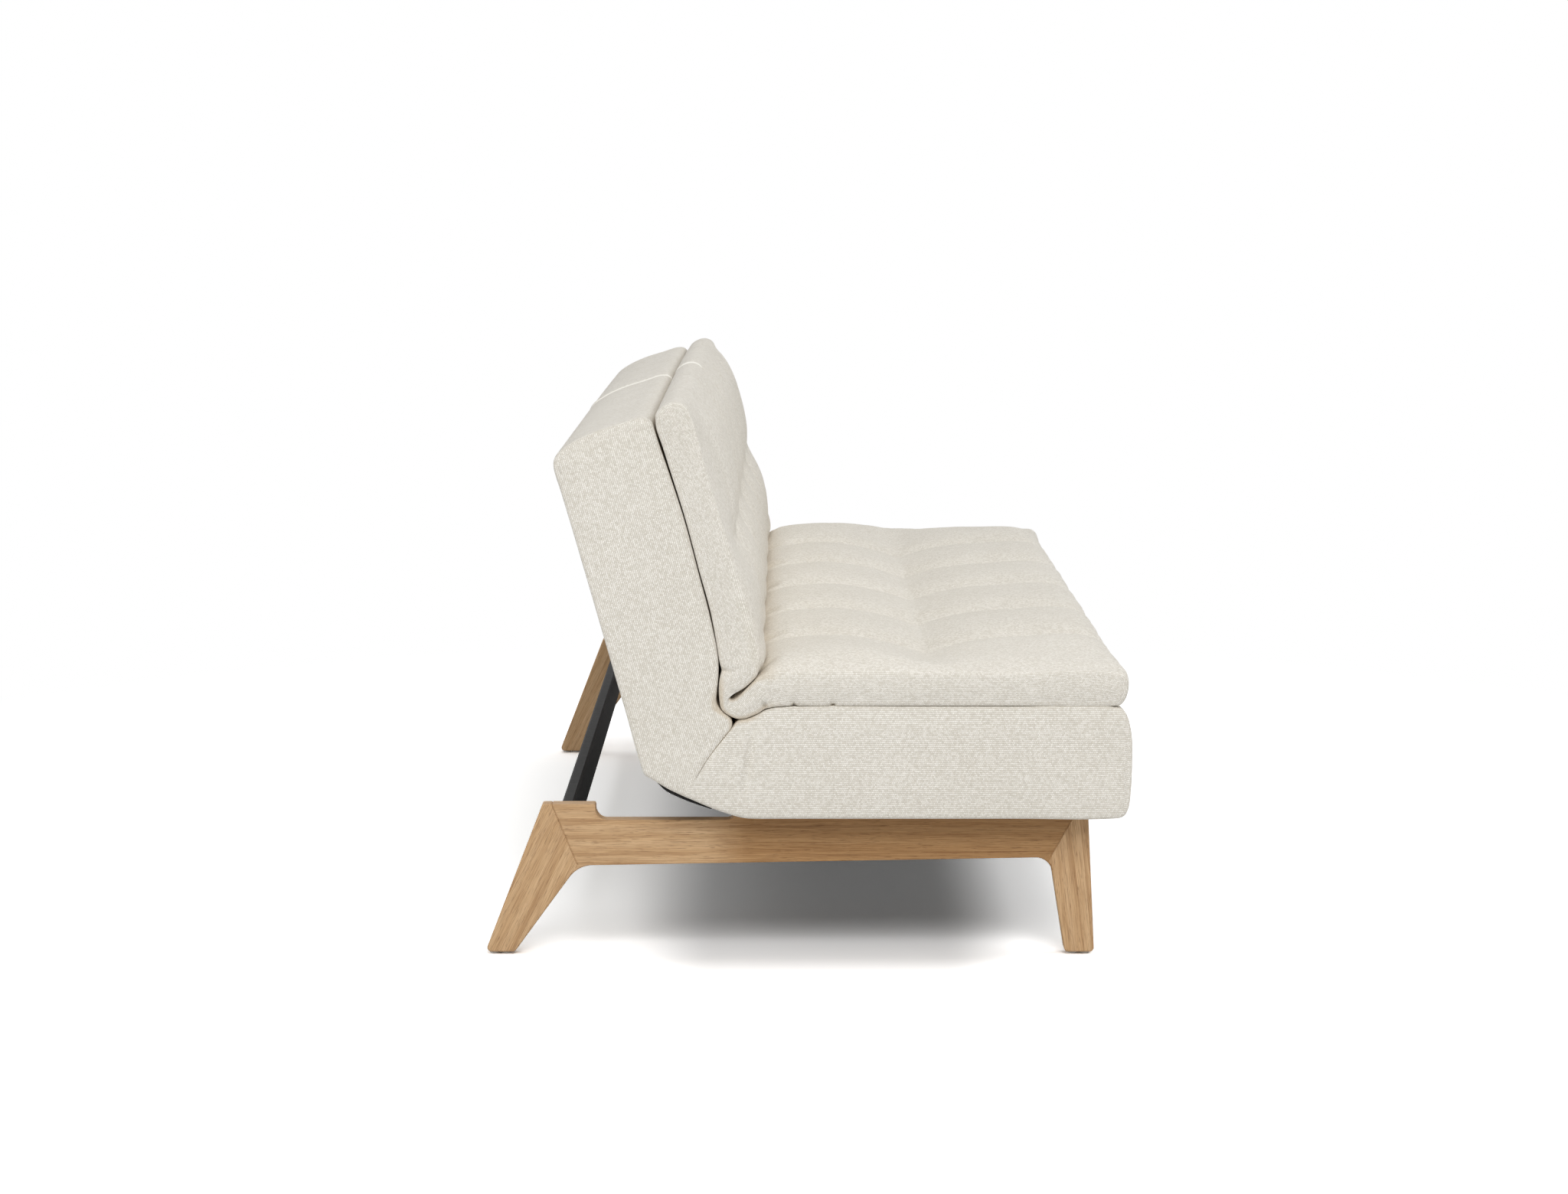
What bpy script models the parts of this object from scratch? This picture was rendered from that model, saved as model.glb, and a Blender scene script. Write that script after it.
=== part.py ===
# A split-back sofa bed: two oak end frames carry a steel seat frame, and each half of the back reclines
# flat on a pair of slotted hinges. Metres, +Z up, the front faces -Y, the origin is on the floor under
# the middle of the sofa bed.

from math import atan2, ceil, cos, degrees, hypot, pi, radians, sin, tan

import bmesh
import bpy

# Overall sizes
LENGTH = 2.100  # end to end over the upholstery
GAP = 0.0003  # between pieces that touch
ARC_STEP = radians(22.5)  # largest turn between two points of a rounded corner

# Oak end frames, seen from the end as an outline in Y and Z
OAK_THICKNESS = 0.029
OAK_INSET = 0.066  # from the end of the upholstery to the outer face
OAK_EDGE = 0.0015
RAIL_TOP = 0.2155
REAR_TOP_Y = 0.3735
REAR_FOOT_Y = 0.4557
REAR_FOOT_WIDTH = 0.0417
REAR_KNEE = (0.3235, 0.1277)
REAR_MITRE_Y = 0.3600
FRONT_TOP_Y = -0.3964
FRONT_FOOT_Y = -0.4068
FRONT_FOOT_WIDTH = 0.0418
FRONT_KNEE = (-0.3434, 0.1395)
FRONT_MITRE_Y = -0.3855
KNEE_RADIUS = 0.020
FOOT_RADIUS = 0.006
NOTCH_FRONT_Y = 0.1015
NOTCH_REAR_Y = 0.2985
NOTCH_DEPTH = 0.0225
NOTCH_RADIUS = 0.020

# Floor glides, two under each foot
GLIDE_HEIGHT = 0.0035
GLIDE_RADIUS = 0.0072
GLIDE_SPACING = 0.0165

# Crossbars between the end frames, flat steel tube on edge
CROSSBAR_SIZE = (0.018, 0.060)  # along Y and Z
CROSSBAR_TOP = 0.205
REAR_CROSSBAR_Y = 0.342
FRONT_CROSSBAR_Y = -0.320

# Seat frame, steel tube, on top of the oak rails
TUBE_SIZE = (0.030, 0.025)  # width and height
TUBE_EDGE = 0.003
SEAT_FRAME_FRONT_Y = -0.392
SEAT_FRAME_REAR_Y = 0.096
SEAT_FRAME_OVERHANG = 0.004  # the frame stops this far inside the outer oak faces
SLAT_WIDTH = 0.063
SLAT_THICKNESS = 0.008
SLAT_BOW = 0.010
SEAT_SLATS = 6
LINING_THICKNESS = 0.0012

# Hinge axis and the lean of the back, with the back's underside just above the oak blocks when flat
HINGE_Y = 0.180
HINGE_Z = 0.265
BACK_LEAN = radians(16.05)
FLAT_CLEARANCE = 0.0033
RECLINE = pi / 2 - BACK_LEAN
HALF_GAP = 0.0015  # from the middle of the sofa bed to each half of the back

# Hinges, a fork on the seat frame and a slotted arm on the back frame
HINGE_END_INSET = 0.1225  # from the end of the upholstery to the middle of the outer hinge
HINGE_MIDDLE_INSET = 0.0725  # from the middle of the sofa bed to the middle of the inner hinge
ARM_THICKNESS = 0.005
CHEEK_THICKNESS = 0.004
CHEEK_GAP = 0.0005
EYE_RADIUS = 0.0145
PIVOT_RADIUS = 0.005
STOP_RADIUS = 0.003
STOP_DISTANCE = 0.021
STOP_ANGLE = radians(20)  # above the horizontal, behind the axis
LOBE_RIM = 0.0055
LOBE_SPAN = radians(14)  # of steel past each end of the slot
ARM_REACH = 0.160
RUNNING_GAP = 0.0003
FORK_HEEL = 0.012  # length of the fork's foot along the lining
FORK_FOOT_RISE = 0.002  # of the foot above the seat frame's underside
FORK_FOOT_DROP = 0.0005  # of the foot's top under the seat frame's top
PIN_RIM = 0.004  # of steel round the stop pin
HEAD_STEP = 0.001  # the pins end this far inside or outside the fork's faces
STRAP_INSET = 0.001  # of the arm's strap inside the back frame's faces
CUTTER_REACH = 0.020  # cutters run this far past the face they open

# Base foam of the seat
SEAT_FRONT_Y = -0.4541
SEAT_BOTTOM = 0.204
SEAT_BASE_TOP = 0.3630
SEAT_DIP = (0.100, 0.3455)  # the rear of the base, under the fold of the topper
SEAT_DIP_START_Y = 0.040
SKIRT_GAP = 0.0015  # from the upholstery's skirt to the oak and the seat frame
FOAM_EDGE = 0.009
SEAT_FOOT_INSET = 0.004  # the front's lower corner behind the fullest point
SEAT_SHOULDER_INSET = 0.013  # the front's upper corner behind the fullest point
SEAT_BELLY_RISE = 0.015  # of the fullest point above the middle of the front
SEAT_DIP_RUN = 0.028  # from the lowest point of the dip forwards to its slope

# Base foam of each half of the back, in the back's own frame with the hinge axis as origin
BACK_FOAM = 0.1552
BACK_FOOT = 0.0112
BACK_HEIGHT = 0.4955
BACK_WAIST = 0.1230  # height of the fold of the topper
BACK_FOLD_DEPTH = 0.0265
BACK_FOLD_SLOPE = 0.022  # height of the slope into the fold
BACK_HEEL = (0.012, -0.008)  # the foam's lowest corner, beside the hinge axis
BACK_TOP_DROP = 0.012  # of the rear upper corner under the height of the back
BACK_TOP_RISE = 0.003  # of the crown of the top above it
MITRE_OFFSET = 0.0206  # of the mitre between seat and back from the hinge axis
WEB = 0.0034  # of flexible foam in the mitre

# Back frames, in the same frame as the back
BACK_TUBE = (0.025, 0.030)  # depth and width
BACK_COVER = 0.002
BACK_FRAME_FOOT = 0.030
BACK_FRAME_TOP = 0.440
BACK_FRAME_MARGIN = 0.030  # foam round the frame at each side
BACK_SLATS = 2
FRAME_SLACK = 0.0015

# Quilted toppers
TOPPER = 0.0477
SEAT_TOPPER_FRONT_Y = -0.4465
SEAT_TOPPER_REAR_Y = 0.0500
BACK_TOPPER_FOOT = 0.1215
BACK_TOPPER_TOP = 0.5040
CHANNEL = 0.350
CROWN = 0.017
CROWN_RUN = 0.22  # share of the depth over which the crown rises from an edge
END_RUN = 0.030  # length over which the quilting fades in from an end
END_CROWN = 0.35  # share of the crown that is left at an end
END_DROP = 0.30  # share of the seams' and tufts' depth that is left at an end
END_SEAM = 0.6  # share of a seam's depth towards an end with no seam
PAD_EDGE = 0.011  # radius of the pads' edges
PAD_LEVELS = ((0.94, 0.3), (0.75, 0.0), (0.25, 0.12), (0.0, 0.45))  # share of height, share of edge
SEAM_DIP = 0.005
TUFT_DIP = 0.007
TUFT_SEAM_DIP = 0.019
TUFT_SPREAD = 0.075
SEAT_TUFT_Y = -0.1495
BACK_TUFT = 0.2900
SCALLOP = 0.0025
SLIT = 0.003  # opening of the crease between the seat's and the back's topper
SOFT_GAP = 0.0009  # between rounded soft pieces

# Lining under the fold, in Y and Z
BELLY_FOOT_Y = 0.0935  # where the slope would meet the seat's underside
BELLY_SLOPE = radians(23.6)
BELLY_THICKNESS = 0.003
BELLY_END = 0.0170  # it stops this far short of the back's rear corner

# Values that follow from the ones above
HALF_LENGTH = LENGTH / 2
OAK_OUTER_X = HALF_LENGTH - OAK_INSET
OAK_INNER_X = OAK_OUTER_X - OAK_THICKNESS
FRAME_BOTTOM = RAIL_TOP + GAP
FRAME_TOP = FRAME_BOTTOM + TUBE_SIZE[1]
BACK_REAR = HINGE_Z - RAIL_TOP - FLAT_CLEARANCE  # the hinge axis to the back's rear face
BACK_FRONT = BACK_REAR - BACK_FOAM
MITRE_ANGLE = (pi / 2 + BACK_LEAN) / 2  # from the back's rear face to the mitre
BELLY_START_Y = NOTCH_FRONT_Y + 0.0025
BELLY_START_Z = SEAT_BOTTOM + (BELLY_START_Y - BELLY_FOOT_Y) * tan(BELLY_SLOPE)
SLOT_START = STOP_ANGLE - RUNNING_GAP / STOP_DISTANCE
SLOT_END = STOP_ANGLE + RECLINE + RUNNING_GAP / STOP_DISTANCE
SLOT_RADIUS = STOP_RADIUS + RUNNING_GAP
LOBE_RADIUS = STOP_DISTANCE + SLOT_RADIUS + LOBE_RIM
POCKET_RADIUS = LOBE_RADIUS + 0.004  # of the space for a hinge in the foam
FORK_WIDTH = ARM_THICKNESS + 2 * (CHEEK_GAP + CHEEK_THICKNESS)
FOLD_TOP = SEAT_DIP[1] - 0.001  # of the web of foam in the mitre


def material(name, colour, roughness, metallic=0.0):
    made = bpy.data.materials.new(name)
    made.use_nodes = True
    shader = made.node_tree.nodes["Principled BSDF"]
    shader.inputs["Base Color"].default_value = (*colour, 1.0)
    shader.inputs["Roughness"].default_value = roughness
    shader.inputs["Metallic"].default_value = metallic
    return made


# Outlines

def rounded(corners):
    """Points of an outline whose corners are (a, b, radius)."""
    points = []
    count = len(corners)
    for index, (a, b, radius) in enumerate(corners):
        before = corners[index - 1]
        after = corners[(index + 1) % count]
        to_before = (before[0] - a, before[1] - b)
        to_after = (after[0] - a, after[1] - b)
        length_before = hypot(*to_before)
        length_after = hypot(*to_after)
        cosine = (to_before[0] * to_after[0] + to_before[1] * to_after[1]) / (length_before * length_after)
        half = pi / 2 if cosine <= -1 else atan2((1 - cosine) ** 0.5, (1 + cosine) ** 0.5)
        turn = pi - 2 * half
        reach = min(radius / tan(half), 0.49 * length_before, 0.49 * length_after)
        if radius <= 0 or turn < radians(2):
            points.append((a, b))
            continue
        steps = max(1, ceil(turn / ARC_STEP))
        real_radius = reach * tan(half)
        start = (a + to_before[0] / length_before * reach, b + to_before[1] / length_before * reach)
        side = 1 if to_before[0] * to_after[1] - to_before[1] * to_after[0] < 0 else -1
        inward = (-to_before[0] / length_before, -to_before[1] / length_before)
        centre = (start[0] - side * inward[1] * real_radius, start[1] + side * inward[0] * real_radius)
        first = atan2(start[1] - centre[1], start[0] - centre[0])
        for step in range(steps + 1):
            angle = first + side * turn * step / steps
            points.append((centre[0] + real_radius * cos(angle), centre[1] + real_radius * sin(angle)))
    return points


def offset(points, distance):
    """The same outline moved outwards by a distance, inwards where it is negative."""
    moved = []
    count = len(points)
    area = sum(points[i - 1][0] * points[i][1] - points[i][0] * points[i - 1][1] for i in range(count))
    side = 1 if area > 0 else -1
    for index, (a, b) in enumerate(points):
        before = points[index - 1]
        after = points[(index + 1) % count]
        normals = []
        for start, end in ((before, (a, b)), ((a, b), after)):
            length = hypot(end[0] - start[0], end[1] - start[1])
            normals.append((side * (end[1] - start[1]) / length, -side * (end[0] - start[0]) / length))
        sum_a = normals[0][0] + normals[1][0]
        sum_b = normals[0][1] + normals[1][1]
        scale = distance * 2 / max(sum_a ** 2 + sum_b ** 2, 1.0)
        moved.append((a + sum_a * scale, b + sum_b * scale))
    return moved


def circle(centre, radius, steps=24, first=0.0, last=2 * pi):
    whole = last - first >= 2 * pi - 1e-9
    count = steps if whole else steps + 1
    angles = [first + (last - first) * step / steps for step in range(count)]
    return [(centre[0] + radius * cos(angle), centre[1] + radius * sin(angle)) for angle in angles]


def wrapped(points):
    """The convex outline round a set of points."""
    ordered = sorted(set(points))
    outline = []
    for sweep in (ordered, ordered[::-1]):
        chain = []
        for point in sweep:
            while len(chain) > 1:
                (a0, b0), (a1, b1) = chain[-2:]
                if (a1 - a0) * (point[1] - b0) - (b1 - b0) * (point[0] - a0) > 1e-12:
                    break
                chain.pop()
            chain.append(point)
        outline += chain[:-1]
    return outline


def back_to_world(y, z):
    """From the back's own frame to the frame of the sofa bed."""
    return (
        HINGE_Y + y * cos(BACK_LEAN) + z * sin(BACK_LEAN),
        HINGE_Z - y * sin(BACK_LEAN) + z * cos(BACK_LEAN),
    )


def mitre_point(shift, reach):
    """A point of the mitre in the back's own frame: shift is the distance from the hinge axis."""
    return (
        -shift * cos(MITRE_ANGLE) - reach * sin(MITRE_ANGLE),
        -shift * sin(MITRE_ANGLE) + reach * cos(MITRE_ANGLE),
    )


def belly_z(y, rise=0.0):
    """Height of the lining's straight stretch, raised square to it."""
    return BELLY_START_Z + (y - BELLY_START_Y) * tan(BELLY_SLOPE) + rise / cos(BELLY_SLOPE)


# Objects

def add_object(name, mesh, paint, parent=None):
    thing = bpy.data.objects.new(name, mesh)
    bpy.context.scene.collection.objects.link(thing)
    if paint:
        mesh.materials.append(paint)
    thing.parent = parent
    return thing


def loft(name, stations, paint=None, parent=None):
    """A closed solid through outlines of Y and Z, one at each station along X."""
    mesh = bpy.data.meshes.new(name)
    shape = bmesh.new()
    rings = [[shape.verts.new((x, y, z)) for y, z in outline] for x, outline in stations]
    count = len(rings[0])
    for ring, following in zip(rings, rings[1:]):
        for index in range(count):
            after = (index + 1) % count
            shape.faces.new((ring[index], ring[after], following[after], following[index]))
    shape.faces.new(rings[0][::-1])
    shape.faces.new(rings[-1])
    bmesh.ops.recalc_face_normals(shape, faces=shape.faces)
    shape.to_mesh(mesh)
    shape.free()
    return add_object(name, mesh, paint, parent)


def prism(name, outline, x0, x1, paint=None, parent=None):
    return loft(name, [(x0, outline), (x1, outline)], paint, parent)


def soft_prism(name, outline, x0, x1, paint, parent=None):
    """A prism of foam whose end faces have soft edges."""
    inset = ((0.0, -FOAM_EDGE), (FOAM_EDGE * 0.3, -FOAM_EDGE * 0.3), (FOAM_EDGE, 0.0))
    left = [(x0 + along, offset(outline, inward)) for along, inward in inset]
    right = [(x1 - along, offset(outline, inward)) for along, inward in inset]
    return loft(name, left + right[::-1], paint, parent)


def bar(name, low, high, edge, paint, parent=None):
    """A straight bar between two corners, with broken edges."""
    mesh = bpy.data.meshes.new(name)
    shape = bmesh.new()
    bmesh.ops.create_cube(shape, size=1.0)
    for vertex in shape.verts:
        vertex.co = [(a + b) / 2 + (b - a) * part for a, b, part in zip(low, high, vertex.co)]
    bmesh.ops.bevel(shape, geom=shape.edges[:], offset=edge, segments=1, affect="EDGES")
    shape.to_mesh(mesh)
    shape.free()
    return add_object(name, mesh, paint, parent)


def bevelled(thing, width):
    modifier = thing.modifiers.new("edges", "BEVEL")
    modifier.width = width
    modifier.segments = 1
    modifier.limit_method = "ANGLE"
    modifier.angle_limit = radians(50)
    return thing


def cut(thing, cutter, operation="DIFFERENCE"):
    """A Boolean, with its tool kept as a wire that isn't rendered."""
    cutter.hide_render = True
    cutter.display_type = "WIRE"
    modifier = thing.modifiers.new(cutter.name, "BOOLEAN")
    modifier.operation = operation
    modifier.solver = "EXACT"
    modifier.object = cutter
    return thing


def smooth(thing, angle=40):
    thing.data.shade_smooth()
    thing.data.set_sharp_from_angle(angle=radians(angle))
    return thing


# Oak end frames

def oak_outline():
    bottom = GLIDE_HEIGHT + GAP
    notch_floor = RAIL_TOP - NOTCH_DEPTH
    corners = [
        (REAR_TOP_Y, RAIL_TOP, 0.003),
        (NOTCH_REAR_Y, RAIL_TOP, 0.003),
        (NOTCH_REAR_Y, notch_floor, 0.002),
        (NOTCH_FRONT_Y, notch_floor, NOTCH_RADIUS),
        (NOTCH_FRONT_Y, RAIL_TOP, 0.0015),
        (FRONT_TOP_Y, RAIL_TOP, 0.003),
        (FRONT_FOOT_Y, bottom, FOOT_RADIUS),
        (FRONT_FOOT_Y + FRONT_FOOT_WIDTH, bottom, FOOT_RADIUS),
        (*FRONT_KNEE, KNEE_RADIUS),
        (*REAR_KNEE, KNEE_RADIUS),
        (REAR_FOOT_Y - REAR_FOOT_WIDTH, bottom, FOOT_RADIUS),
        (REAR_FOOT_Y, bottom, FOOT_RADIUS),
    ]
    return rounded(corners)


def mitre_cut(shape, top_y, knee, keep):
    """Cuts an oak frame along a mitre and keeps its front (-1) or rear (1) side."""
    run_y = top_y - knee[0]
    run_z = RAIL_TOP - knee[1]
    length = hypot(run_y, run_z)
    normal = (0.0, run_z / length * keep, -run_y / length * keep)
    point = (0.0, knee[0] + normal[1] * GAP / 2, knee[1] + normal[2] * GAP / 2)
    geometry = shape.verts[:] + shape.edges[:] + shape.faces[:]
    cut_edges = bmesh.ops.bisect_plane(
        shape, geom=geometry, dist=1e-6, plane_co=point, plane_no=normal, clear_inner=True
    )["geom_cut"]
    edges = [item for item in cut_edges if isinstance(item, bmesh.types.BMEdge)]
    bmesh.ops.holes_fill(shape, edges=edges, sides=0)


def oak_piece(name, x0, cuts, paint):
    piece = prism(name, oak_outline(), x0, x0 + OAK_THICKNESS, paint)
    shape = bmesh.new()
    shape.from_mesh(piece.data)
    for top_y, knee, keep in cuts:
        mitre_cut(shape, top_y, knee, keep)
    bmesh.ops.recalc_face_normals(shape, faces=shape.faces)
    shape.to_mesh(piece.data)
    shape.free()
    return bevelled(piece, OAK_EDGE)


def glide(name, x, y, paint):
    """A round pad under a foot, with a chamfered lower edge."""
    mesh = bpy.data.meshes.new(name)
    shape = bmesh.new()
    bmesh.ops.create_cone(
        shape, cap_ends=True, segments=16, radius1=GLIDE_RADIUS, radius2=GLIDE_RADIUS, depth=GLIDE_HEIGHT
    )
    rim = [edge for edge in shape.edges if all(vertex.co.z < 0 for vertex in edge.verts)]
    bmesh.ops.bevel(shape, geom=rim, offset=0.0008, segments=1, affect="EDGES")
    bmesh.ops.translate(shape, verts=shape.verts[:], vec=(0.0, 0.0, GLIDE_HEIGHT / 2))
    shape.to_mesh(mesh)
    shape.free()
    pad = smooth(add_object(name, mesh, paint))
    pad.location = (x, y, 0.0)
    return pad


def end_frame(side_name, x0, oak, plastic):
    rear = (REAR_MITRE_Y, REAR_KNEE)
    front = (FRONT_MITRE_Y, FRONT_KNEE)
    oak_piece(f"{side_name}_rear_leg", x0, [(*rear, 1)], oak)
    oak_piece(f"{side_name}_rail", x0, [(*rear, -1), (*front, 1)], oak)
    oak_piece(f"{side_name}_front_leg", x0, [(*front, -1)], oak)
    middle_x = x0 + OAK_THICKNESS / 2
    feet = (
        ("rear", REAR_FOOT_Y - REAR_FOOT_WIDTH / 2),
        ("front", FRONT_FOOT_Y + FRONT_FOOT_WIDTH / 2),
    )
    for foot, y in feet:
        glide(f"{side_name}_{foot}_glide_outer", middle_x, y + GLIDE_SPACING / 2, plastic)
        glide(f"{side_name}_{foot}_glide_inner", middle_x, y - GLIDE_SPACING / 2, plastic)


# Steel between and on the end frames

def crossbar(name, y, paint):
    reach = OAK_INNER_X - GAP
    low = (-reach, y - CROSSBAR_SIZE[0] / 2, CROSSBAR_TOP - CROSSBAR_SIZE[1])
    high = (reach, y + CROSSBAR_SIZE[0] / 2, CROSSBAR_TOP)
    return bar(name, low, high, TUBE_EDGE, paint)


def seat_frame(steel, beech):
    reach = OAK_OUTER_X - SEAT_FRAME_OVERHANG
    width = TUBE_SIZE[0]
    front_inner = SEAT_FRAME_FRONT_Y + width
    rear_inner = SEAT_FRAME_REAR_Y - width
    bar("seat_tube_front", (-reach, SEAT_FRAME_FRONT_Y, FRAME_BOTTOM), (reach, front_inner, FRAME_TOP),
        TUBE_EDGE, steel)
    bar("seat_tube_rear", (-reach, rear_inner, FRAME_BOTTOM), (reach, SEAT_FRAME_REAR_Y, FRAME_TOP),
        TUBE_EDGE, steel)
    for side_name, x0 in (("left", -reach), ("right", reach - width)):
        bar(f"seat_tube_{side_name}", (x0, front_inner + GAP, FRAME_BOTTOM),
            (x0 + width, rear_inner - GAP, FRAME_TOP), TUBE_EDGE, steel)
    pitch = 2 * reach / SEAT_SLATS
    for index in range(SEAT_SLATS):
        x = -reach + pitch * (index + 0.5)
        outline = slat_outline(SEAT_FRAME_FRONT_Y + TUBE_EDGE, SEAT_FRAME_REAR_Y - TUBE_EDGE, width)
        points = [(along, FRAME_TOP + GAP + height) for along, height in outline]
        smooth(prism(f"seat_slat_{index + 1}", points, x - SLAT_WIDTH / 2, x + SLAT_WIDTH / 2, beech))


def slat_outline(start, end, seat, steps=10):
    """A bowed slat on edge: flat ends that lie on the tubes, and a shallow arch between them."""
    lower = [(start, 0.0)]
    span = end - start - 2 * seat
    for step in range(steps + 1):
        part = step / steps
        lower.append((start + seat + span * part, SLAT_BOW * (1 - cos(2 * pi * part)) / 2))
    lower.append((end, 0.0))
    upper = [(along, height + SLAT_THICKNESS) for along, height in lower]
    return lower + upper[::-1]


def lining(paint):
    """Black cloth under the seat, between the oak rails and against the seat frame."""
    reach = OAK_INNER_X - SKIRT_GAP
    low = (-reach, SEAT_FRAME_FRONT_Y, FRAME_BOTTOM - GAP - LINING_THICKNESS)
    high = (reach, BELLY_START_Y - GAP, FRAME_BOTTOM - GAP)
    return bar("seat_lining", low, high, LINING_THICKNESS / 4, paint)


# Hinges

def hinge_middles():
    """The middle of each hinge along X, with the half of the back that it carries."""
    outer = HALF_LENGTH - HINGE_END_INSET
    return (
        ("left", "outer", -outer),
        ("left", "inner", -HINGE_MIDDLE_INSET),
        ("right", "inner", HINGE_MIDDLE_INSET),
        ("right", "outer", outer),
    )


def stop_point():
    return (HINGE_Y + STOP_DISTANCE * cos(STOP_ANGLE), HINGE_Z + STOP_DISTANCE * sin(STOP_ANGLE))


def hinge_fork(name, x, steel):
    """Two cheeks and a foot on the seat frame's rear tube, with the pin that stops the arm."""
    foot_y = SEAT_FRAME_REAR_Y + GAP
    foot_low = FRAME_BOTTOM + FORK_FOOT_RISE
    foot_high = FRAME_TOP - FORK_FOOT_DROP
    axis = (HINGE_Y, HINGE_Z)
    outline = wrapped(
        circle(axis, EYE_RADIUS)
        + circle(stop_point(), STOP_RADIUS + PIN_RIM, 16)
        + [(foot_y, foot_low), (foot_y, foot_high), (foot_y + FORK_HEEL, foot_low)]
    )
    half = FORK_WIDTH / 2
    fork = prism(name, outline, x - half, x + half, steel)
    inner = half - CHEEK_THICKNESS
    slot_low = foot_y + CHEEK_THICKNESS
    bottom = FRAME_BOTTOM - CUTTER_REACH
    top = HINGE_Z + EYE_RADIUS + CUTTER_REACH
    rear = HINGE_Y + LOBE_RADIUS + CUTTER_REACH
    slot = [(slot_low, bottom), (rear, bottom), (rear, top), (slot_low, top)]
    cut(fork, prism(f"{name}_slot", slot, x - inner, x + inner))
    cut(fork, prism(f"{name}_bore", circle(axis, PIVOT_RADIUS + RUNNING_GAP), x - 2 * half, x + 2 * half))
    pin = prism(f"{name}_stop", circle(stop_point(), STOP_RADIUS, 16), x - half + HEAD_STEP,
                x + half - HEAD_STEP)
    return cut(fork, pin, "UNION")


def hinge_arm(name, x, steel, parent):
    """A plate with the pivot, the curved slot that the stop runs in, and a strap along the back frame."""
    head = [to_back(*point) for point in circle((HINGE_Y, HINGE_Z), EYE_RADIUS)]
    lobe = circle((HINGE_Y, HINGE_Z), LOBE_RADIUS, 10, SLOT_START - LOBE_SPAN, SLOT_END + LOBE_SPAN)
    head += [to_back(*point) for point in lobe]
    rear = back_frame_rear() - STRAP_INSET
    front = back_frame_rear() - BACK_TUBE[0] + STRAP_INSET
    strap = [(rear, BACK_FRAME_FOOT), (rear, ARM_REACH), (front, ARM_REACH)]
    outline = wrapped(head + strap)
    half = ARM_THICKNESS / 2
    arm = prism(name, outline, x - half, x + half, steel, parent)
    ends = circle((HINGE_Y, HINGE_Z), STOP_DISTANCE + SLOT_RADIUS, 14, SLOT_START, SLOT_END)
    inside = circle((HINGE_Y, HINGE_Z), STOP_DISTANCE - SLOT_RADIUS, 14, SLOT_START, SLOT_END)
    last = slot_cap(SLOT_END, 1)
    first = slot_cap(SLOT_START, -1)
    slot = [to_back(*point) for point in ends + last + inside[::-1] + first]
    cut(arm, prism(f"{name}_slot", slot, x - 2 * half, x + 2 * half, parent=parent))
    pivot = prism(f"{name}_pivot", circle((0.0, 0.0), PIVOT_RADIUS), x - FORK_WIDTH / 2 - HEAD_STEP,
                  x + FORK_WIDTH / 2 + HEAD_STEP, parent=parent)
    return cut(arm, pivot, "UNION")


def slot_cap(angle, side):
    """The inner points of the half circle that closes a curved slot."""
    centre = (HINGE_Y + STOP_DISTANCE * cos(angle), HINGE_Z + STOP_DISTANCE * sin(angle))
    first = angle if side > 0 else angle + pi
    return circle(centre, SLOT_RADIUS, 6, first, first + pi)[1:-1]


def to_back(y, z):
    """From the frame of the sofa bed to the back's own frame."""
    dy = y - HINGE_Y
    dz = z - HINGE_Z
    return (dy * cos(BACK_LEAN) - dz * sin(BACK_LEAN), dy * sin(BACK_LEAN) + dz * cos(BACK_LEAN))


# Upholstery of the seat

def seat_base_outline():
    mitre_top = back_to_world(*mitre_reach(MITRE_OFFSET + WEB / 2, SEAT_DIP[1]))
    mitre_foot = back_to_world(*mitre_point(MITRE_OFFSET + WEB / 2, 0.0))
    above_lining = BELLY_THICKNESS + GAP
    lining_y = BELLY_START_Y - GAP
    corners = [
        (SEAT_FRONT_Y + SEAT_FOOT_INSET, SEAT_BOTTOM, 0.012),
        (BELLY_FOOT_Y, SEAT_BOTTOM, 0.020),
        (lining_y, belly_z(lining_y), 0.0),
        (lining_y, belly_z(lining_y, above_lining), 0.0),
        (mitre_foot[0], belly_z(mitre_foot[0], above_lining), 0.0),
        (*mitre_foot, 0.0),
        (*mitre_top, 0.004),
        (SEAT_DIP[0] - SEAT_DIP_RUN, SEAT_DIP[1] + SOFT_GAP, 0.020),
        (SEAT_DIP_START_Y, SEAT_BASE_TOP, 0.020),
        (SEAT_FRONT_Y + SEAT_SHOULDER_INSET, SEAT_BASE_TOP, 0.016),
        (SEAT_FRONT_Y, (SEAT_BOTTOM + SEAT_BASE_TOP) / 2 + SEAT_BELLY_RISE, 0.200),
    ]
    return rounded(corners)


def mitre_reach(shift, height):
    """The mitre's point at a height in the frame of the sofa bed, in the back's own frame."""
    foot = back_to_world(*mitre_point(shift, 0.0))
    step = back_to_world(*mitre_point(shift, 1.0))
    return mitre_point(shift, (height - foot[1]) / (step[1] - foot[1]))


def hinge_pocket(name, x, low_rise, high):
    """The space that a hinge needs in the soft pieces: above the lining's line and up to a height."""
    front_y = SEAT_FRAME_REAR_Y - SKIRT_GAP
    rear_y = HINGE_Y + POCKET_RADIUS + CUTTER_REACH
    outline = [(front_y, belly_z(front_y, low_rise)), (rear_y, belly_z(rear_y, low_rise)),
               (rear_y, high), (front_y, high)]
    half = FORK_WIDTH / 2 + FRAME_SLACK
    return prism(name, outline, x - half, x + half)


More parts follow.
